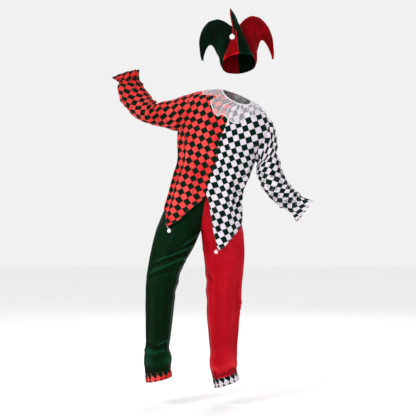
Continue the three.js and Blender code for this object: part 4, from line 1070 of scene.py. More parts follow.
# Creases on the flat sleeve: u runs round it from the underseam (the front side
# first), v from the armhole down.
SLEEVE_CREASES = {
    "red": crease_rows([
        (60, 20, 150, 90, 6, 2.4, 4), (100, 10, 190, 60, 6, -2.2, -4),
        (30, 60, 120, 130, 6, -2.0, 4), (120, 150, 210, 190, 5, 3.0, 5),
        (110, 175, 205, 210, 5, -3.2, 4), (90, 205, 200, 228, 5, 3.0, 3),
        (60, 190, 150, 250, 5, -2.4, 5), (80, 250, 190, 268, 5, 2.4, 4),
        (40, 262, 130, 320, 6, 2.2, 6), (120, 280, 200, 350, 5, -2.4, 5),
        (60, 320, 80, 400, 5, 2.0, 3), (150, 310, 150, 400, 5, 2.2, -3),
        (230, 60, 320, 130, 6, 2.4, 5), (240, 170, 330, 200, 5, -2.6, 4),
        (230, 200, 340, 240, 5, 2.8, 4), (250, 260, 340, 310, 6, -2.2, 5),
        (260, 330, 270, 400, 5, 2.0, 3),
    ]),
    "white": crease_rows([
        (70, 30, 160, 110, 6, 2.2, 4), (120, 20, 200, 120, 6, -2.2, -4),
        (50, 130, 170, 160, 5, 2.6, 4), (60, 165, 180, 196, 5, -2.8, 4),
        (40, 205, 170, 222, 5, 3.0, 4), (60, 236, 190, 250, 5, -3.0, -3),
        (80, 262, 190, 282, 5, 3.0, 4), (50, 290, 150, 312, 4, -2.8, 3),
        (100, 318, 190, 340, 4, 3.0, 3), (50, 340, 140, 362, 4, 2.6, -3),
        (110, 360, 180, 388, 4, -2.6, 3), (60, 376, 120, 410, 4, 2.4, 3),
        (230, 60, 330, 120, 6, 2.2, 5), (230, 190, 340, 220, 5, -2.6, 4),
        (220, 236, 330, 262, 5, 2.8, 4), (230, 300, 320, 330, 4, -2.6, 3),
        (240, 350, 320, 380, 4, 2.6, 3),
    ]),
}


# %% Sleeve surface
def sleeve_surface(side):
    read = SLEEVE[side]
    first = read(0.0)

    def point(ring, place):
        t = np.maximum(place, 0)
        row = read(t)
        crease = ring_creases(RING_CREASES, ring, t)
        grown = crease * ease(t / CREASE_START) + row.wave * cosine(ring * FRILL_WAVES)
        found = oval_point(row, ring, row.across + grown, row.deep + grown, row.y)
        left = np.maximum(1 - t / ARMHOLE_BLEND, 0)[..., None]
        edge = body_point(*armhole_place(side, ring))
        own = oval_point(first, ring, first.across, first.deep, first.y)
        return found + (edge - own) * left * left * (3 - 2 * left)

    return point


def wrist_gathers(ring, t):
    """Short uneven ridges that run into the wrist elastic from both sides."""
    uneven = ring * WRIST_GATHERS + 60 * sine(ring * 3) + 40 * sine(ring * 7 + 30)
    before = ease((t - 0.84) / 0.14) * ease((1.1 - t) / 0.1)
    strength = 0.6 + 0.4 * sine(ring * 5 + 80)
    return GATHER_RISE * cosine(uneven) * before * strength


def sleeve_along(base, t):
    """Way down the sleeve. Below the cap it grows by the longest way round a bend,
    since that side is taut and the other lies in creases. The cap keeps its own."""
    step = np.linalg.norm(np.diff(base, axis=0), axis=-1)
    cap = (t[:-1] + t[1:]) / 2 < ARMHOLE_BLEND
    taut = np.percentile(step, 85, axis=1, keepdims=True) + 0 * step
    below = np.concatenate([0 * t[:1], np.cumsum(np.where(cap, 0, taut), axis=0)])
    whole = np.cumsum(np.where(cap, step, 0)[::-1], axis=0)[::-1]
    above = np.concatenate([whole, 0 * t[:1]])
    return below - above + above[:1].mean()


def without_last(*grids):
    """Grids of a ring without their last column, which lies on the first."""
    return [grid[:, :-1] for grid in grids]


def sleeve_piece(side, finishes):
    name = f"sleeve_{side}"
    surface = sleeve_surface(side)
    rings = 180 - 360 * np.arange(SLEEVE_COLUMNS + 1) / SLEEVE_COLUMNS
    parts = np.linspace(0, SLEEVE_END, SLEEVE_ROWS + 1)
    ring, t = np.meshgrid(rings, parts)
    base = surface(ring, t)
    turned = SLEEVE_TURNED[side]
    facing = facing_of(surface, ring, t, turned, 0.5, 0.004)
    facing[0] = unit(facing[0] + body_facing(*armhole_place(side, rings)))
    along = sleeve_along(base, t)
    across = walked(base, along)
    across -= across[:, SLEEVE_COLUMNS // 2][:, None]
    flat = np.stack([across, along], -1)
    from_seam = across - across[:, :1]
    lift = line_creases(SLEEVE_CREASES[side], from_seam, along)
    lift += rumple(base, *SLEEVE_RUMPLE)
    lift += crushed(base, *SLEEVE_CRUSH) * CRUSH[side](t).part
    lift *= ease(t / SLEEVE_CALM) * ease((CREASES_END - t) / SLEEVE_CALM)
    lift += wrist_gathers(ring, t)
    from_armhole = np.linalg.norm(base - base[:1], axis=-1)
    lift += seam_puff(from_armhole, *SEAM_PUFF)
    outer = base + facing * lift[..., None]
    edge = edge_mask(across, along, ["bottom"], 4 * MM)
    outer, facing, edge, fold = without_last(outer, facing, edge, painted_fold_tone(lift))
    outer[0] -= unit(outer[1] - outer[0]) * SEAM_REACH
    piece = cloth_piece(name, outer, facing, flat, COTTON, finishes, edge, fold, True)
    declare(piece, name, flat)
    return outer


sleeve_points = {"red": sleeve_piece("red", RED_COTTON),
                 "white": sleeve_piece("white", WHITE_COTTON)}

# %% [markdown]
# ## The ruff collar and the neck binding
# The collar is a deep strip of organza, gathered at the neck, that lies over the
# shoulders in flutes. Its outer edge is overlocked in white. The table follows
# that edge round the neck: how far down the tunic it reaches and how high its
# flute stands there. Fine pleats run out from the gathers between the flutes.

# %% Ruff tables
ORGANZA = 0.5 * MM
RUFF_LIFT = 2.4 * MM
RUFF_WAVE = 9 * MM
RUFF_PLEATS = 46
PLEAT_RISE = 1.7 * MM
RUFF_FLUTE_HIGHLIGHT = 3.2 * MM
RUFF_DENSE = 0.45
RUFF_ROWS = 34
RUFF_COLUMNS = 420
BINDING_ROLL = 3.5 * MM
BINDING_GAP = 0.3 * MM
BINDING_DENT = 0.06
BINDING_STITCHES = 150

RUFF_EDGE = Table("turn down flute", "down", [
    (0, 36, 0.3), (10, 37, 1), (19, 40, 0.5), (27, 41, 0.7), (35, 43, 0), (43, 53, 1),
    (51, 60, 0.3), (58, 71, 0.9), (64, 78, 0.5), (69, 90, 0), (73, 110, 0.5),
    (77, 134, 1), (83, 137, 0.8), (89, 129, 0.6), (94, 113, 0.3), (98, 107, 0),
    (102, 127, 0.8), (108, 110, 1), (115, 80, 1), (122, 52, 0.6), (129, 28, 0.2),
    (135, 18, 0), (141, 20, 0.2), (147, 42, 0.8), (155, 38, 1), (166, 36, 0.7),
    (179, 37, 0.4), (190, 36, 0), (197, 42, 0.5), (204, 50, 1), (211, 50, 0.5),
    (218, 54, 0), (225, 66, 0.6), (232, 80, 1), (239, 78, 0.5), (246, 78, 0),
    (253, 88, 0.6), (260, 97, 1), (267, 90, 0.5), (274, 84, 0), (281, 88, 0.5),
    (288, 94, 1), (295, 84, 0.5), (302, 76, 0), (309, 72, 0.5), (316, 68, 1),
    (324, 58, 0.5), (332, 46, 0), (340, 44, 0.5), (348, 42, 1), (360, 36, 0.3),
])


# %% Ruff and binding
def ruff_point(turn, part):
    inside = turn % 360
    edge = RUFF_EDGE(inside)
    down = edge.down * part
    lift = RUFF_LIFT + RUFF_WAVE * edge.flute * np.sqrt(np.maximum(part, 0))
    return body_point(inside, down) + body_facing(inside, down) * lift[..., None]


def ruff_pleats(turn, part):
    """Fine pleats from the gathered edge that die out toward the free edge."""
    uneven = turn * RUFF_PLEATS + 50 * sine(turn * 5) + 35 * sine(turn * 11 + 40)
    return PLEAT_RISE * cosine(uneven) * ease(part / 0.12) * (1 - 0.55 * part)


def ruff_piece():
    turns = 360 * np.arange(RUFF_COLUMNS + 1) / RUFF_COLUMNS
    turn, part = np.meshgrid(turns, np.linspace(0, 1, RUFF_ROWS + 1))
    base = ruff_point(turn, part)
    facing = facing_of(ruff_point, turn, part, 1, 1, 0.01)
    pleats = ruff_pleats(turn, part)
    outer = base + facing * pleats[..., None]
    down = np.linalg.norm(np.diff(base, axis=0), axis=-1)
    along = np.concatenate([np.zeros((1, len(turns))), np.cumsum(down, axis=0)])
    round_it = walked(base[-1:], np.zeros((1, len(turns))))
    flat = np.stack([np.repeat(round_it, RUFF_ROWS + 1, axis=0), along], -1)
    edge = edge_mask(flat[..., 0], along, ["bottom"], 5 * MM) ** 0.5
    waves = RUFF_EDGE(turn % 360).flute
    # Painted highlight on the high flutes, and fuller cloth near the gathered neck; both
    # go into the fold tone that makes the organza fuller and whiter.
    flute_highlight_and_gathers = (waves / waves.max() - 0.45) * part ** 0.5 + RUFF_DENSE * (1 - part) ** 2
    fold = painted_fold_tone(pleats * 1.1 + RUFF_FLUTE_HIGHLIGHT * flute_highlight_and_gathers)
    outer, facing, edge, fold = without_last(outer, facing, edge, fold)
    piece = cloth_piece("collar_ruff", outer, facing, flat, ORGANZA, [ruff_organza], edge,
                        fold, True)
    surface = sum(p.area for p in piece.data.polygons) / 2
    declare(piece, "collar_ruff", flat, surface)
    return outer


ruff_points = ruff_piece()


def binding_point(turn, roll):
    """Rolled binding along the neck edge, with the small dents of its stitches."""
    neck = np.zeros(np.shape(turn))
    edge = body_point(turn, neck)
    facing = body_facing(turn, neck + 1 * MM)
    upward = unit(edge - body_point(turn, neck + 2 * MM))
    stitch = 0.5 + 0.5 * cosine(turn * BINDING_STITCHES)
    dent = 1 - BINDING_DENT * stitch * (sine(roll) > 0.5)
    reach = BINDING_ROLL * dent[..., None]
    middle = edge + upward * (BINDING_ROLL + BINDING_GAP)
    roll = np.asarray(roll)[..., None]
    return middle + upward * reach * cosine(roll) + facing * reach * sine(roll)


def smooth_piece(name, points, faces, finish):
    """Rounded piece of one finish."""
    mesh = bpy.data.meshes.new(name)
    mesh.from_pydata(points.reshape(-1, 3).tolist(), [], faces)
    mesh.materials.append(finish)
    mesh.polygons.foreach_set("use_smooth", np.ones(len(faces), bool))
    return add_object(mesh)


def tube_mesh(name, points, finish):
    """Closed ring: rows round the neck, columns round the roll."""
    rows, columns = points.shape[:2]
    ids = np.arange(rows * columns).reshape(rows, columns)
    near, beside = np.roll(ids, -1, axis=0), np.roll(ids, -1, axis=1)
    across = np.roll(near, -1, axis=1)
    faces = np.stack([ids.ravel(), beside.ravel(), across.ravel(), near.ravel()], 1)
    return smooth_piece(name, points, faces.tolist(), finish)


turn, roll = np.meshgrid(np.arange(0, 360, 0.8), np.arange(0, 360, 22.5), indexing="ij")
binding = tube_mesh("neck_binding_roll", binding_point(turn, roll), white_binding)
show(binding, "neck_binding")
print("binding rolled round", len(binding.data.vertices), "points")

# %% [markdown]
# ## The trousers
# Two straight satin legs, green to the left and red to the right. Each is a front
# and a back panel from the waist to the ankle. Above the crotch the two legs are
# joined at the middle seam, so there a panel starts part of the way round its
# oval. Satin falls in long soft folds, with creases at the knee, and hangs over
# its own gathers just above the ankle band.

# %% Trouser tables
SATIN = 0.7 * MM
LEG_COLUMNS = 56
HIP_ROWS = 46
LEG_ROWS = 120
LEG_FOLD_FADE = 0.25
HIP_PLAIN = 0.9
HIP_BLEND = 0.2
LEG_RUMPLE = (14, 1.6 * MM)
LEG_SIDE_CALM = 16 * MM
LEG_SEAM_CALM = 12 * MM
LEG_GATHERS = 34
LEG_GATHER_RISE = 0.9 * MM
BLOUSE_RISE = 6 * MM

HIPS = Table("t x z lean green red split front back", "x z green red front back", [
    (0, -127, -410, -15, 150, 150, 0, 106, 100),
    (0.22, -143, -465, -14, 167, 165, 0.05, 114, 112),
    (0.45, -156, -524, -13, 178, 178, 0.13, 119, 123.2),
    (0.65, -165, -577, -12, 188, 188, 0.24, 122, 127),
    (0.83, -172, -624, -8, 203, 203, 0.37, 119, 122),
    (1, -178, -674, -3, 222, 213, 0.5, 116, 120),
])
LEG_COLUMN_NAMES = "t x y z lean across front back"
LEG_LENGTHS = "x y z across front back"
LEG_ROWS_BELOW = {
    "green": [
        (1.15, -318, -12, -749, -7, 101, 106, 108),
        (1.3, -347, -25, -829, -5, 88, 95, 96),
        (1.45, -370, -38, -918, -5, 78, 86, 86), (1.6, -378, -36, -1002, -3, 72, 80, 82),
        (1.75, -384, -28, -1097, -2, 67, 76, 80), (1.86, -389, -20, -1188, 0, 62, 72, 76),
        (1.93, -393, -15, -1260, 1, 57, 70, 72), (1.97, -394, -12, -1320, 5, 62, 72, 74),
        (2, -392, -10, -1374, 9, 64, 70, 72),
    ],
    "red": [
        (1.15, -64, -2, -775, -3, 103, 108, 110), (1.3, -61, -5, -870, -1, 95, 98, 100),
        (1.45, -63, -8, -969, 0, 87, 90, 90), (1.6, -65, -8, -1059, 0, 84, 84, 86),
        (1.75, -67, -4, -1120, 0, 79, 80, 84), (1.86, -66, 1, -1205, 0, 73, 76, 80),
        (1.93, -66, 5, -1280, 2, 66, 72, 76), (1.97, -64, 7, -1342, 8, 61, 72, 74),
        (2, -59, 8, -1397, 16, 62, 70, 72),
    ],
}
LEG_TOWARD = {"green": -1, "red": 1}

LEG_FOLDS = named_rows("turn drift top end spread rise", "rise", [
    (96, 8, 0.6, 1.9, 9, 6), (62, -6, 0.8, 1.7, 9, -5), (130, 6, 0.5, 1.8, 9, -4),
    (158, 0, 0.7, 2, 9, 4), (34, 8, 1.1, 1.9, 9, 4), (206, 4, 0.5, 1.8, 9, 5),
    (236, 2, 0.6, 1.9, 9, -5), (262, -4, 0.7, 1.8, 9, 5), (300, -4, 1, 1.9, 10, -4),
])
KNEE_CREASES = named_rows("t side width rise", "rise", [
    (1.38, 60, 0.03, -5), (1.46, 40, 0.03, 5), (1.55, 300, 0.03, -5),
    (1.93, 30, 0.02, -5), (1.965, 330, 0.02, 5),
])

# Creases on the flat leg: u from the middle or inner seam, v down from the waist.
LEG_CREASES = {
    "front_green": crease_rows([
        (6, 290, 150, 450, 8, 4.5, 10), (2, 330, 190, 480, 9, -4.5, 12),
        (4, 360, 220, 505, 8, 5.0, 12), (30, 410, 250, 530, 9, -4.5, 8),
        (20, 430, 230, 560, 7, 4.0, 6), (50, 500, 260, 590, 8, -3.0, 5),
        (2, 470, 70, 500, 6, 4.0, 4), (2, 500, 80, 522, 6, -3.5, 4),
        (150, 120, 120, 400, 14, 2.0, 10), (200, 200, 210, 460, 14, -1.8, 8),
        (120, 560, 96, 820, 15, 1.4, 10), (170, 600, 160, 860, 15, -1.2, 8),
        (60, 640, 50, 880, 12, 1.4, 6), (220, 520, 214, 800, 12, 1.6, 8),
        (20, 870, 110, 905, 6, 4.5, 4), (200, 880, 60, 925, 6, -4.5, 5),
        (250, 900, 120, 940, 6, 4.5, 5), (40, 930, 150, 950, 5, 3.5, 3),
    ]),
    "front_red": crease_rows([
        (4, 300, 60, 430, 7, 4.0, 8), (10, 360, 80, 500, 7, -3.6, 8),
        (2, 420, 50, 520, 6, 3.6, 6), (150, 330, 120, 700, 16, 1.4, 12),
        (90, 500, 96, 840, 15, -1.2, 8), (210, 380, 200, 760, 15, -1.2, 10),
        (240, 420, 236, 860, 12, 1.8, 8), (50, 600, 54, 880, 12, 1.8, 6),
        (280, 560, 220, 600, 6, 3.6, 4), (284, 600, 226, 636, 6, -3.4, 4),
        (286, 690, 240, 720, 6, 3.0, 4), (250, 860, 130, 915, 6, 4.0, 5),
        (200, 895, 60, 930, 6, -4.0, 4), (240, 925, 120, 955, 5, 4.0, 4),
        (20, 880, 90, 915, 6, 3.6, 4),
    ]),
    "back_green": crease_rows([
        (20, 320, 110, 400, 8, 2.6, 6), (30, 470, 130, 500, 7, -2.8, 5),
        (30, 505, 120, 530, 6, 2.8, 4), (80, 560, 84, 840, 10, 2.4, 8),
        (130, 600, 120, 860, 10, -2.2, 6), (110, 890, 30, 920, 6, 3.0, 4),
    ]),
    "back_red": crease_rows([
        (20, 330, 110, 420, 8, 2.6, 6), (30, 520, 130, 545, 7, -2.8, 5),
        (30, 552, 120, 575, 6, 2.8, 4), (76, 600, 80, 860, 10, 2.4, 8),
        (126, 620, 116, 880, 10, -2.2, 6), (110, 900, 30, 930, 6, 3.0, 4),
    ]),
}


# %% Trouser surface
def leg_surface(side):
    toward = LEG_TOWARD[side]

    def hip_leg(t):
        row = HIPS(t)
        half = getattr(row, side)
        moved = half * row.split * toward
        return SimpleNamespace(
            x=row.x + moved * cosine(row.lean), y=0 * half,
            z=row.z + moved * sine(row.lean), lean=row.lean,
            across=half * (1 - row.split), front=row.front, back=row.back)

    top = hip_leg(1.0)
    names = LEG_COLUMN_NAMES.split()
    scale = [1 / MM if name in LEG_LENGTHS.split() else 1 for name in names]
    top_row = [1.0] + [getattr(top, name) * s for name, s in zip(names[1:], scale[1:])]
    read_leg = Table(LEG_COLUMN_NAMES, LEG_LENGTHS, [top_row] + LEG_ROWS_BELOW[side])

    def point(turn, t):
        hip, leg = hip_leg(np.minimum(t, 1)), read_leg(np.maximum(t, 1))
        row = SimpleNamespace(**{
            name: np.where(t < 1, getattr(hip, name), getattr(leg, name))
            for name in names[1:]})
        near = ease((t - HIP_PLAIN) / HIP_BLEND)
        grown = fold_height(LEG_FOLDS, turn, t, LEG_FOLD_FADE) * near
        grown = grown + ring_creases(KNEE_CREASES, turn, t)
        depth = np.where(sine(turn) > 0, row.front, row.back) + grown
        around = turn if toward < 0 else 180 - turn
        return oval_point(row, around, row.across + grown, depth, row.y)

    return point


def leg_start(t):
    """Turn at which a leg panel starts: the middle seam, or the inner leg."""
    split = HIPS(np.minimum(t, 1)).split
    return np.degrees(np.arccos(np.minimum(split / (1 - split), 1)))


def ankle_gathers(turn, t):
    """Fine gathers that end where the ankle band is sewn on."""
    uneven = turn * LEG_GATHERS + 70 * sine(turn * 3)
    grown = ease((t - 1.965) / 0.03) * ease((2.0 - t) / 0.004)
    return LEG_GATHER_RISE * cosine(uneven) * grown


def blouse(turn, t):
    """Loose cloth that hangs over the gathers just above the ankle band."""
    uneven = 0.65 + 0.35 * sine(turn * 3 + 30)
    return BLOUSE_RISE * uneven * ease((t - 1.89) / 0.06) * ease((1.994 - t) / 0.025)


def leg_panel(side, where, finishes):
    name = f"trouser_{where}_{side}"
    surface = leg_surface(side)
    hips = np.sin(np.pi / 2 * np.linspace(0, 1, HIP_ROWS + 1))
    parts = np.concatenate([hips, np.linspace(1, 2, LEG_ROWS + 1)[1:]])
    share, t = np.meshgrid(np.linspace(0, 1, LEG_COLUMNS + 1), parts)
    turn = mix(leg_start(t), 180, share)
    if where == "back":
        turn = 360 - turn
    base = surface(turn, t)
    facing = facing_of(surface, turn, t, -LEG_TOWARD[side], 0.5, 0.002)
    along = np.repeat(walked_down(base[:, -1])[:, None], LEG_COLUMNS + 1, axis=1)
    across = walked(base, along)
    flat = np.stack([across, along], -1)
    below_hips = ease((t - HIP_PLAIN) / HIP_BLEND)
    from_side = across[:, -1:] - across
    lift = line_creases(LEG_CREASES[f"{where}_{side}"], across, along)
    lift += rumple(base, *LEG_RUMPLE)
    lift *= below_hips * ease(from_side / LEG_SIDE_CALM)
    lift *= ease((across - across[:, :1]) / LEG_SEAM_CALM)
    lift += ankle_gathers(turn, t) + blouse(turn, t)
    lift += seam_puff(np.minimum(across, from_side), *SEAM_PUFF) * below_hips
    outer = base + facing * lift[..., None]
    meet_neighbours(outer)
    edge = edge_mask(across, along, ["first", "last"], 4 * MM)
    piece = cloth_piece(name, outer, facing, flat, SATIN, finishes, edge,
                        painted_fold_tone(lift))
    declare(piece, name, flat)


for side in SATINS:
    for where in ("front", "back"):
        leg_panel(side, where, SATINS[side])

# %% [markdown]
# ## The ankle bands
# A gathered band of the tunic's check finishes each leg: red check on the green
# leg and white check on the red one. It is a short ring whose gathers grow from
# the seam, so a wave round the ring that grows from the top is all it needs.

# %% Ankle bands
BAND_COLUMNS = 264
BAND_ROWS = 16
BAND_GATHERS = 11
BAND_GATHER_HEIGHT = 2.2 * MM
BAND_FINE_GATHERS = 33
BAND_FINE_RISE = 0.8 * MM
BAND_FULLNESS = 1.3
BAND_PRINT_START = 15.5 * MM

BAND = {
    "green": Table(LEG_COLUMN_NAMES, LEG_LENGTHS, [
        (0, -392, -10, -1374.4, 9, 64, 70, 72), (0.5, -390, -10, -1396, 11, 66, 72, 74),
        (1, -388, -10, -1415, 12, 65, 71, 73)]),
    "red": Table(LEG_COLUMN_NAMES, LEG_LENGTHS, [
        (0, -59, 8, -1397.4, 16, 62, 70, 72), (0.5, -54, 8, -1419, 17.5, 65, 72, 74),
        (1, -50, 8, -1438, 18, 65, 71, 73)]),
}


def band_piece(side, finishes):
    name = f"ankle_band_{side}_leg"
    read = BAND[side]

    def surface(turn, t):
        row = read(t)
        wave = BAND_GATHER_HEIGHT * cosine(turn * BAND_GATHERS) * ease(t * 2)
        depth = np.where(sine(turn) > 0, row.front, row.back) + wave
        return oval_point(row, turn, row.across + wave, depth, row.y)

    turns = 360 * np.arange(BAND_COLUMNS + 1) / BAND_COLUMNS
    turn, t = np.meshgrid(turns, np.linspace(0, 1, BAND_ROWS + 1))
    base = surface(turn, t)
    facing = facing_of(surface, turn, t, 1, 1, 0.01)
    fine = turn * BAND_FINE_GATHERS + 60 * sine(turn * 4)
    lift = BAND_FINE_RISE * cosine(fine) * ease(t * 3)
    outer = base + facing * lift[..., None]
    height = np.linalg.norm(base[-1, 0] - base[0, 0])
    across = walked(base, t * height) * BAND_FULLNESS
    flat = np.stack([across, t * height + BAND_PRINT_START], -1)
    edge = edge_mask(across, t * height, ["bottom"], 3 * MM)
    outer, facing, edge, fold = without_last(outer, facing, edge, painted_fold_tone(lift))
    piece = cloth_piece(name, outer, facing, flat, COTTON, finishes, edge, fold, True)
    declare(piece, name, flat)
    return outer


band_points = {"green": band_piece("green", RED_COTTON),
               "red": band_piece("red", WHITE_COTTON)}

# %% [markdown]
# ## The hat
# Three horns, each of two velvet gores, one red and one green. The gores meet at
# the crown in three valleys and along the top and underside of every horn. A
# gore is drawn across from its top seam to its under seam as a simple arch, so
# the seams stay crisp and the faces stay full.

# %% Hat tables
VELVET = 0.9 * MM
HAT_PLACE = np.array([12, 0, 160]) * MM
HAT_ROLL = -5.5
LEFT_HORN = -120
RIGHT_HORN = 120
BRIM_HALF_WIDTH = 84 * MM
BRIM_HALF_DEPTH = 100 * MM
BRIM_TILT = 38 * MM
CROWN_TOP = 172 * MM
VALLEY_DOME = 0.8
GORE_HALF_TURN = 60
CROWN_PART = 0.34
GORE_COLUMNS = 30
GORE_ROWS = 110
GORE_RUMPLE = (18, 1.8 * MM)
GORE_PUFF = (4 * MM, 0.8 * MM)
SEAM_CALM = 0.15
TIP_CALM = 0.2

HORN_COLUMNS = "t top_out top_high under_out under_high half"
HORN_LENGTHS = "top_out top_high under_out under_high half"
HORN_SIDE = Table(HORN_COLUMNS, HORN_LENGTHS, [
    (0, 0, 0, 92, -19, 62), (0.17, 0, 0, 102, 30, 56), (0.34, 0, 172, 124, 78, 42),
    (0.42, 34, 204, 133, 100, 34), (0.5, 66, 228, 142, 113, 29),
    (0.58, 104, 241, 150, 117, 27), (0.66, 142, 236, 160, 115, 26),
    (0.74, 176, 214, 170, 106, 24), (0.82, 203, 176, 181, 90, 20),
    (0.9, 217, 122, 191, 68, 14), (0.96, 217, 70, 198, 48, 8), (1, 212, 34, 201, 30, 2.6),
])
HORN_FRONT = Table(HORN_COLUMNS, HORN_LENGTHS, [
    (0, 0, 0, 100, 38, 48), (0.17, 0, 0, 92, 84, 42), (0.34, 0, 172, 88, 128, 30),
    (0.42, 14, 212, 90, 150, 22), (0.5, 34, 244, 96, 166, 17),
    (0.58, 62, 264, 104, 176, 14), (0.66, 94, 268, 112, 180, 13),
    (0.74, 126, 254, 120, 176, 13), (0.82, 149, 224, 128, 166, 12),
    (0.9, 158, 184, 135, 150, 10), (0.96, 157, 150, 139, 134, 6),
    (1, 152, 126, 141, 122, 2.6),
])
BEND_FRONT = Table("t top under left lift", "top under lift", [
    (0, 0, 0, 0.95, 0), (0.3, 0, 0, 0.7, 0), (0.42, -4, 0, 0.6, 0),
    (0.54, -13, -3, 0.62, 0), (0.66, -21, -6, 0.58, 0), (0.8, -22, -8, 0.56, 0),
    (0.92, -17, -10, 0.6, 0), (1, -13, -12, 1, 0)])
BEND_LEFT = Table("t top under left lift", "top under lift", [
    (0.6, 0, 0, 1, 0), (0.8, 0, 0, 1, 5), (1, 0, 0, 1, 14)])
BEND_RIGHT = Table("t top under left lift", "top under lift", [
    (0.6, 0, 0, 1, 0), (0.8, 0, 0, 1, -5), (1, 0, 0, 1, -12)])

HAT_UP = np.array([sine(HAT_ROLL), 0, cosine(HAT_ROLL)])
HAT_SIDE = np.array([cosine(HAT_ROLL), 0, -sine(HAT_ROLL)])
HAT_FRONT = np.array([0, -1.0, 0])

# Creases on a gore: u across it from the top seam, v from the brim to the tip.
GORE_CREASES = crease_rows([
    (10, 90, 70, 130, 7, -1.6, 4), (60, 110, 100, 190, 8, 1.6, 5),
    (20, 170, 80, 200, 7, -1.4, 4), (16, 240, 90, 270, 7, 1.6, 4),
    (14, 300, 70, 320, 6, -1.6, 3), (12, 350, 50, 362, 5, 1.4, 2),
])


# %% Gores
def hat_place(out, turn, high):
    out, high = np.asarray(out)[..., None], np.asarray(high)[..., None]
    level = HAT_SIDE * (out * sine(turn)) + HAT_FRONT * (out * cosine(turn))
    return HAT_PLACE + level + HAT_UP * high


def brim_reach(turn):
    return np.hypot(BRIM_HALF_WIDTH * sine(turn), BRIM_HALF_DEPTH * cosine(turn))


def gore_surface(table, bends, turn, side):
    valley = turn + GORE_HALF_TURN * side
    middle = turn + GORE_HALF_TURN * side * 0.5
    rightward = HAT_SIDE * cosine(turn) - HAT_FRONT * sine(turn)

    def seams(t):
        row, bend = table(t), bends(t)
        part = np.clip(t / CROWN_PART, 0, 1)
        out = brim_reach(valley) * mix(1 - part, 1 - ease(part), VALLEY_DOME)
        high = mix(BRIM_TILT * cosine(valley), CROWN_TOP, part)
        in_valley = hat_place(out, valley, high)
        on_horn = hat_place(row.top_out, turn, row.top_high + bend.lift)
        on_horn = on_horn + rightward * bend.top[..., None]
        top = np.where((t < CROWN_PART)[..., None], in_valley, on_horn)
        under = hat_place(row.under_out, turn, row.under_high + bend.lift)
        half = row.half * (bend.left if side < 0 else 1)
        return top, under + rightward * bend.under[..., None], half

    def point(across, t):
        top, under, half = seams(t)
        brim = hat_place(brim_reach(middle), middle, BRIM_TILT * cosine(middle))
        brim_face = brim - (top + under) / 2
        horn_face = rightward * side * half[..., None]
        blend = ease(t / CROWN_PART)[..., None]
        across = across[..., None]
        arch = mix(brim_face, horn_face, blend) * 4 * across * (1 - across)
        return mix(top, under, across) + arch

    return point, seams


def gore_piece(name, table, bends, turn, side, finishes, slot):
    surface, seams = gore_surface(table, bends, turn, side)
    share, t = np.meshgrid(np.linspace(0, 1, GORE_COLUMNS + 1),
                           np.linspace(0, 1, GORE_ROWS + 1))
    base = surface(share, t)
    facing = facing_of(surface, share, t, -side, 0.01, 0.002)
    down = walked_down(base[:, GORE_COLUMNS // 2])[:, None]
    along = np.repeat(down, GORE_COLUMNS + 1, axis=1)
    step = np.linalg.norm(np.diff(base, axis=1), axis=-1)
    across = np.concatenate([0 * down, np.cumsum(step, axis=1)], axis=1)
    flat = np.stack([across - across[:, -1:] / 2, along], -1)
    before_tip = ease((1 - t) / TIP_CALM)
    lift = line_creases(GORE_CREASES, across, along) + rumple(base, *GORE_RUMPLE)
    lift *= ease(share / SEAM_CALM) * ease((1 - share) / SEAM_CALM) * before_tip
    seam_near = np.minimum(share, 1 - share) * across[:, -1:]
    lift += seam_puff(seam_near, *GORE_PUFF) * before_tip
    outer = base + facing * lift[..., None]
    meet_neighbours(outer)
    reach = np.minimum(1, (1 - t) / 0.1 + 0.25)
    inward = facing * np.minimum(reach, 0.3 + seam_near / (6 * MM))[..., None]
    edge = edge_mask(across, along, ["top", "first", "last"], 6 * MM)
    piece = cloth_piece(name, outer, inward, flat, VELVET, finishes, edge,
                        painted_fold_tone(lift))
    declare(piece, name, flat)


RED_HAT = ([red_velvet, red_lining], "red_velvet")
GREEN_HAT = ([green_velvet, green_lining], "green_velvet")
GORES = [
    ("gore_front_left", HORN_FRONT, BEND_FRONT, 0, -1, *RED_HAT),
    ("gore_front_right", HORN_FRONT, BEND_FRONT, 0, 1, *GREEN_HAT),
    ("gore_left_front", HORN_SIDE, BEND_LEFT, LEFT_HORN, 1, *GREEN_HAT),
    ("gore_left_back", HORN_SIDE, BEND_LEFT, LEFT_HORN, -1, *RED_HAT),
    ("gore_right_front", HORN_SIDE, BEND_RIGHT, RIGHT_HORN, -1, *RED_HAT),
    ("gore_right_back", HORN_SIDE, BEND_RIGHT, RIGHT_HORN, 1, *GREEN_HAT),
]
for row in GORES:
    gore_piece(*row)

# %% [markdown]
# ## Baubles and their threads
# A white ball hangs from the front horn and from both hem points. Each is a
# turned ball with a faint moulding seam round its middle. It hangs on a twisted
# thread that starts in the cloth, and a small knot sits on top of the ball.

# %% Baubles
BAUBLES = {
    "hat_bauble": ((-25, -161, 273), 25),
    "hem_bauble_red": ((-333, -122, -672), 19),
    "hem_bauble_white": ((-103, -139, -775), 18),
}
BALL_COLUMNS = 48
BALL_ROWS = 30
BALL_SEAM_RISE = 0.012
BALL_SEAM_HALF = 3.5


def rings_joined(ids):
    """Faces between the rings of a round form, given by the numbers of their points."""
    beside = np.roll(ids, -1, axis=1)
    corners = [ids[:-1], ids[1:], beside[1:], beside[:-1]]
    return np.stack(corners, -1).reshape(-1, 4).tolist()


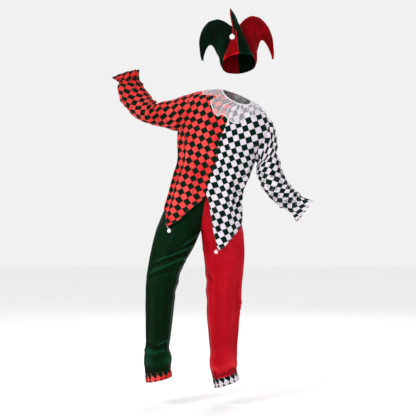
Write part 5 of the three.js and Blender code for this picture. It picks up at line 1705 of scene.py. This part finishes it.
def bauble_piece(name, place, size):
    """A turned ball: rows from pole to pole with a narrow step at its middle."""
    radius = size / 2 * MM
    polar = np.linspace(0, 180, BALL_ROWS + 1)[1:-1]
    turn, down = np.meshgrid(360 * np.arange(BALL_COLUMNS) / BALL_COLUMNS, polar)
    seam = 1 + BALL_SEAM_RISE * np.exp(-(((down - 90) / BALL_SEAM_HALF) ** 2))
    reach = radius * seam
    ring = np.stack([reach * sine(down) * cosine(turn), reach * sine(down) * sine(turn),
                     reach * cosine(down)], -1)
    points = np.concatenate([[[0, 0, radius]], ring.reshape(-1, 3), [[0, 0, -radius]]])
    ids = 1 + np.arange(len(polar) * BALL_COLUMNS).reshape(len(polar), BALL_COLUMNS)
    beside = np.roll(ids, -1, axis=1)
    last = len(points) - 1
    faces = rings_joined(ids)
    faces += [(0, int(a), int(b)) for a, b in zip(ids[0], beside[0])]
    faces += [(last, int(b), int(a)) for a, b in zip(ids[-1], beside[-1])]
    centre = np.array(place) * MM
    piece = smooth_piece(name + "_ball", points + centre, faces, bauble_white)
    show(piece, name)
    return centre, radius


balls = {name: bauble_piece(name, *row) for name, row in BAUBLES.items()}
print("baubles:", {name: round(2 * radius, 4) for name, (_, radius) in balls.items()})

# %% Threads
THREAD_HALF = 0.7 * MM
THREAD_CLEAR = 0.3 * MM
THREAD_TWIST = 5
TIP_DROP = 0.4 * MM
KNOT_HALF = 2.1 * MM


def hem_point(turn):
    turn, down = np.array(float(turn)), hem_down(np.array(float(turn)))
    return body_point(turn, down) - body_facing(turn, down) * (1 * MM)


def thread_piece(name, start, ball):
    """Two strands twisted round each other from the cloth to the ball."""
    centre, radius = balls[ball]
    way = centre - start
    length = np.linalg.norm(way) - radius - THREAD_CLEAR * 2
    way = unit(way)
    side = unit(np.cross(way, [0.3, 0.9, 0.2]))
    other = np.cross(way, side)
    part = np.linspace(0, 1, 40)[:, None]
    roll = np.linspace(0, 360, 16, endpoint=False)[None, :]
    lobe = 0.82 + 0.18 * cosine(2 * (roll - 360 * THREAD_TWIST * part))
    points = (start + way * (THREAD_CLEAR + length * part[..., None])
              + (side * cosine(roll)[..., None] + other * sine(roll)[..., None])
              * (THREAD_HALF * lobe)[..., None])
    rows, columns = points.shape[:2]
    ids = np.arange(rows * columns).reshape(rows, columns)
    faces = rings_joined(ids) + [ids[0].tolist(), ids[-1][::-1].tolist()]
    show(smooth_piece(name + "_cord", points, faces, white_thread), name)
    print(f"{name}: {length:.4f} m long")


def knot_piece(name, ball):
    """Small overhand knot of the same thread, tied where it enters the ball."""
    centre, radius = balls[ball]
    turn = np.linspace(0, 360, 90, endpoint=False)
    loop = KNOT_HALF * (2 + cosine(3 * turn)) / 3
    path = np.stack([loop * cosine(2 * turn), loop * sine(2 * turn),
                     KNOT_HALF * 0.7 * sine(3 * turn)], -1)
    path += centre + np.array([0, 0, radius + KNOT_HALF])
    ahead = unit(np.roll(path, -1, axis=0) - np.roll(path, 1, axis=0))
    side = unit(np.cross(ahead, [0.2, 0.3, 1]))
    other = np.cross(ahead, side)
    roll = np.linspace(0, 360, 10, endpoint=False)[None, :, None]
    ring = side[:, None] * cosine(roll) + other[:, None] * sine(roll)
    show(tube_mesh(name, path[:, None] + ring * THREAD_HALF, white_thread))


for knot_of in BAUBLES:
    knot_piece(knot_of + "_knot", knot_of)

_, front_seams = gore_surface(HORN_FRONT, BEND_FRONT, 0, 1)
tip_top, tip_under, _ = front_seams(np.array(1.0))
hat_tip = (tip_top + tip_under) / 2 - np.array([0, 0, TIP_DROP])
thread_piece("hat_thread", hat_tip, "hat_bauble")
for side, way in (("red", 1), ("white", -1)):
    start = hem_point(90 * (1 + way * TIP_SHARE[side]))
    thread_piece(f"hem_thread_{side}", start, f"hem_bauble_{side}")

# %% [markdown]
# ## Stitches
# Hems and bindings are held by rows of machine stitches. A row is a path on the
# cloth, and the same small stitch is set along it at an even pitch, which is
# what Geometry Nodes are for: the curve is resampled, a stitch is put on every
# point and turned to the path, and the result is made real and given its thread.

# %% Stitch tree
STITCH_PITCH = 3.2 * MM
STITCH_LENGTH = 2.3 * MM
STITCH_HALF = 0.28 * MM
STITCH_SIDES = 6
STITCH_RINGS = 4
STITCH_SIZES = {"Pitch": STITCH_PITCH, "Length": STITCH_LENGTH,
                "Half thickness": STITCH_HALF}
STITCH_NODES = {
    "given": "NodeGroupInput", "path": "GeometryNodeCurveToPoints",
    "stitch": "GeometryNodeMeshUVSphere", "half": "ShaderNodeMath",
    "shape": "ShaderNodeCombineXYZ", "place": "GeometryNodeInstanceOnPoints",
    "real": "GeometryNodeRealizeInstances", "finish": "GeometryNodeSetMaterial",
    "shown": "NodeGroupOutput",
}
STITCH_LINKS = [
    # from an output of one node to an input of another
    ("given", "Geometry", "path", "Curve"), ("given", "Pitch", "path", "Length"),
    ("given", "Length", "half", 0), ("half", 0, "shape", "Z"),
    ("given", "Half thickness", "shape", "X"), ("given", "Half thickness", "shape", "Y"),
    ("path", "Points", "place", "Points"), ("stitch", "Mesh", "place", "Instance"),
    ("path", "Rotation", "place", "Rotation"), ("shape", "Vector", "place", "Scale"),
    ("place", "Instances", "real", "Geometry"),
    ("real", "Geometry", "finish", "Geometry"), ("given", "Thread", "finish", "Material"),
    ("finish", "Geometry", "shown", "Geometry"),
]


def stitch_tree():
    """Node tree that sews one path. Its inputs are the sizes and the thread."""
    tree = bpy.data.node_groups.new("machine_stitches", "GeometryNodeTree")
    face = tree.interface
    face.new_socket("Geometry", in_out="INPUT", socket_type="NodeSocketGeometry")
    for name, value in STITCH_SIZES.items():
        socket = face.new_socket(name, in_out="INPUT", socket_type="NodeSocketFloat")
        socket.default_value = value
    face.new_socket("Thread", in_out="INPUT", socket_type="NodeSocketMaterial")
    face.new_socket("Geometry", in_out="OUTPUT", socket_type="NodeSocketGeometry")
    nodes = {name: tree.nodes.new(kind) for name, kind in STITCH_NODES.items()}
    nodes["path"].mode = "LENGTH"
    nodes["stitch"].inputs["Segments"].default_value = STITCH_SIDES
    nodes["stitch"].inputs["Rings"].default_value = STITCH_RINGS
    nodes["stitch"].inputs["Radius"].default_value = 1.0
    nodes["half"].operation = "MULTIPLY"
    nodes["half"].inputs[1].default_value = 0.5
    for start, output, end, given in STITCH_LINKS:
        tree.links.new(nodes[start].outputs[output], nodes[end].inputs[given])
    return tree


sewing = stitch_tree()


def sew(name, paths, thread, slot, **sizes):
    """Sews stitches along paths of points and keeps them as one plain mesh."""
    curve = bpy.data.curves.new(name + "_path", "CURVE")
    curve.dimensions = "3D"
    for points in paths:
        spline = curve.splines.new("POLY")
        spline.points.add(len(points) - 1)
        flat = np.concatenate([points, np.ones((len(points), 1))], axis=1)
        spline.points.foreach_set("co", flat.astype(np.float32).ravel())
    holder = bpy.data.objects.new(name + "_path", curve)
    scene.collection.objects.link(holder)
    modifier = holder.modifiers.new("stitches", "NODES")
    modifier.node_group = sewing
    values = {**STITCH_SIZES, **sizes, "Thread": thread}
    for item in sewing.interface.items_tree:
        if item.in_out == "INPUT" and item.name in values:
            modifier[item.identifier] = values[item.name]
    bpy.context.view_layer.update()
    seen = holder.evaluated_get(bpy.context.evaluated_depsgraph_get())
    mesh = bpy.data.meshes.new_from_object(seen)
    mesh.name = name
    bpy.data.objects.remove(holder)
    piece = add_object(mesh)
    mesh.polygons.foreach_set("use_smooth", np.ones(len(mesh.polygons), bool))
    show(piece)
    print(f"{name}: {len(mesh.polygons) // (STITCH_SIDES * STITCH_RINGS)} stitches")


# %% Rows of stitches
STITCH_LIFT = 0.15 * MM
OVERLOCK = {"Pitch": 1.6 * MM, "Length": 2.2 * MM, "Half thickness": 0.6 * MM}


def closed(ring):
    """Path round a ring that comes back to its start."""
    return np.concatenate([ring, ring[:1]])


def row_at(outer, facing, flat, height):
    """Path on a panel at one distance above its lower edge."""
    along = flat[..., 1]
    wanted = along[-1] - height
    below = np.clip((along < wanted).sum(axis=0), 1, len(along) - 1)
    columns = np.arange(along.shape[1])
    start, end = along[below - 1, columns], along[below, columns]
    part = ((wanted - start) / np.maximum(end - start, 1e-9))[:, None]
    points = mix(outer[below - 1, columns], outer[below, columns], part)
    return points + facing[below, columns] * STITCH_LIFT


hem_rows = {side: [row_at(*panels[f"{where}_{side}"], HEM_TURNING)[1:-1]
                   for where in ("front", "back")] for side in ("red", "white")}
sew("hem_stitches_red", hem_rows["red"], red_thread, "red_check")
sew("hem_stitches_white", hem_rows["white"], white_thread, "white_check")

sew("ruff_overlock", [closed(ruff_points[-1])], white_thread, "organza", **OVERLOCK)
gather_line = ruff_points[2] + np.array([0, 0, 0.2 * MM])
sew("ruff_gather_stitches", [closed(gather_line)], white_thread, "organza")
wrist_row = round(SLEEVE_ROWS / SLEEVE_END)
for side, thread in (("red", red_thread), ("white", white_thread)):
    rings = [closed(sleeve_points[side][wrist_row + step]) for step in (-2, 2)]
    sew(f"wrist_stitches_{side}", rings, thread, f"{side}_check")
for side, thread, slot in (("green", red_thread, "red_check"),
                           ("red", white_thread, "white_check")):
    sew(f"band_stitches_{side}", [closed(band_points[side][-3])], thread, slot)

# %% [markdown]
# ## Count the triangles
# The dressed costume stands only a little proud of the solids. The triangles of
# every piece that is shown are counted and printed.


triangles = sum(sum(len(p.vertices) - 2 for p in o.data.polygons)
                for o in bpy.data.objects if o.type == "MESH" and not o.hide_render)
print("triangles shown:", triangles)
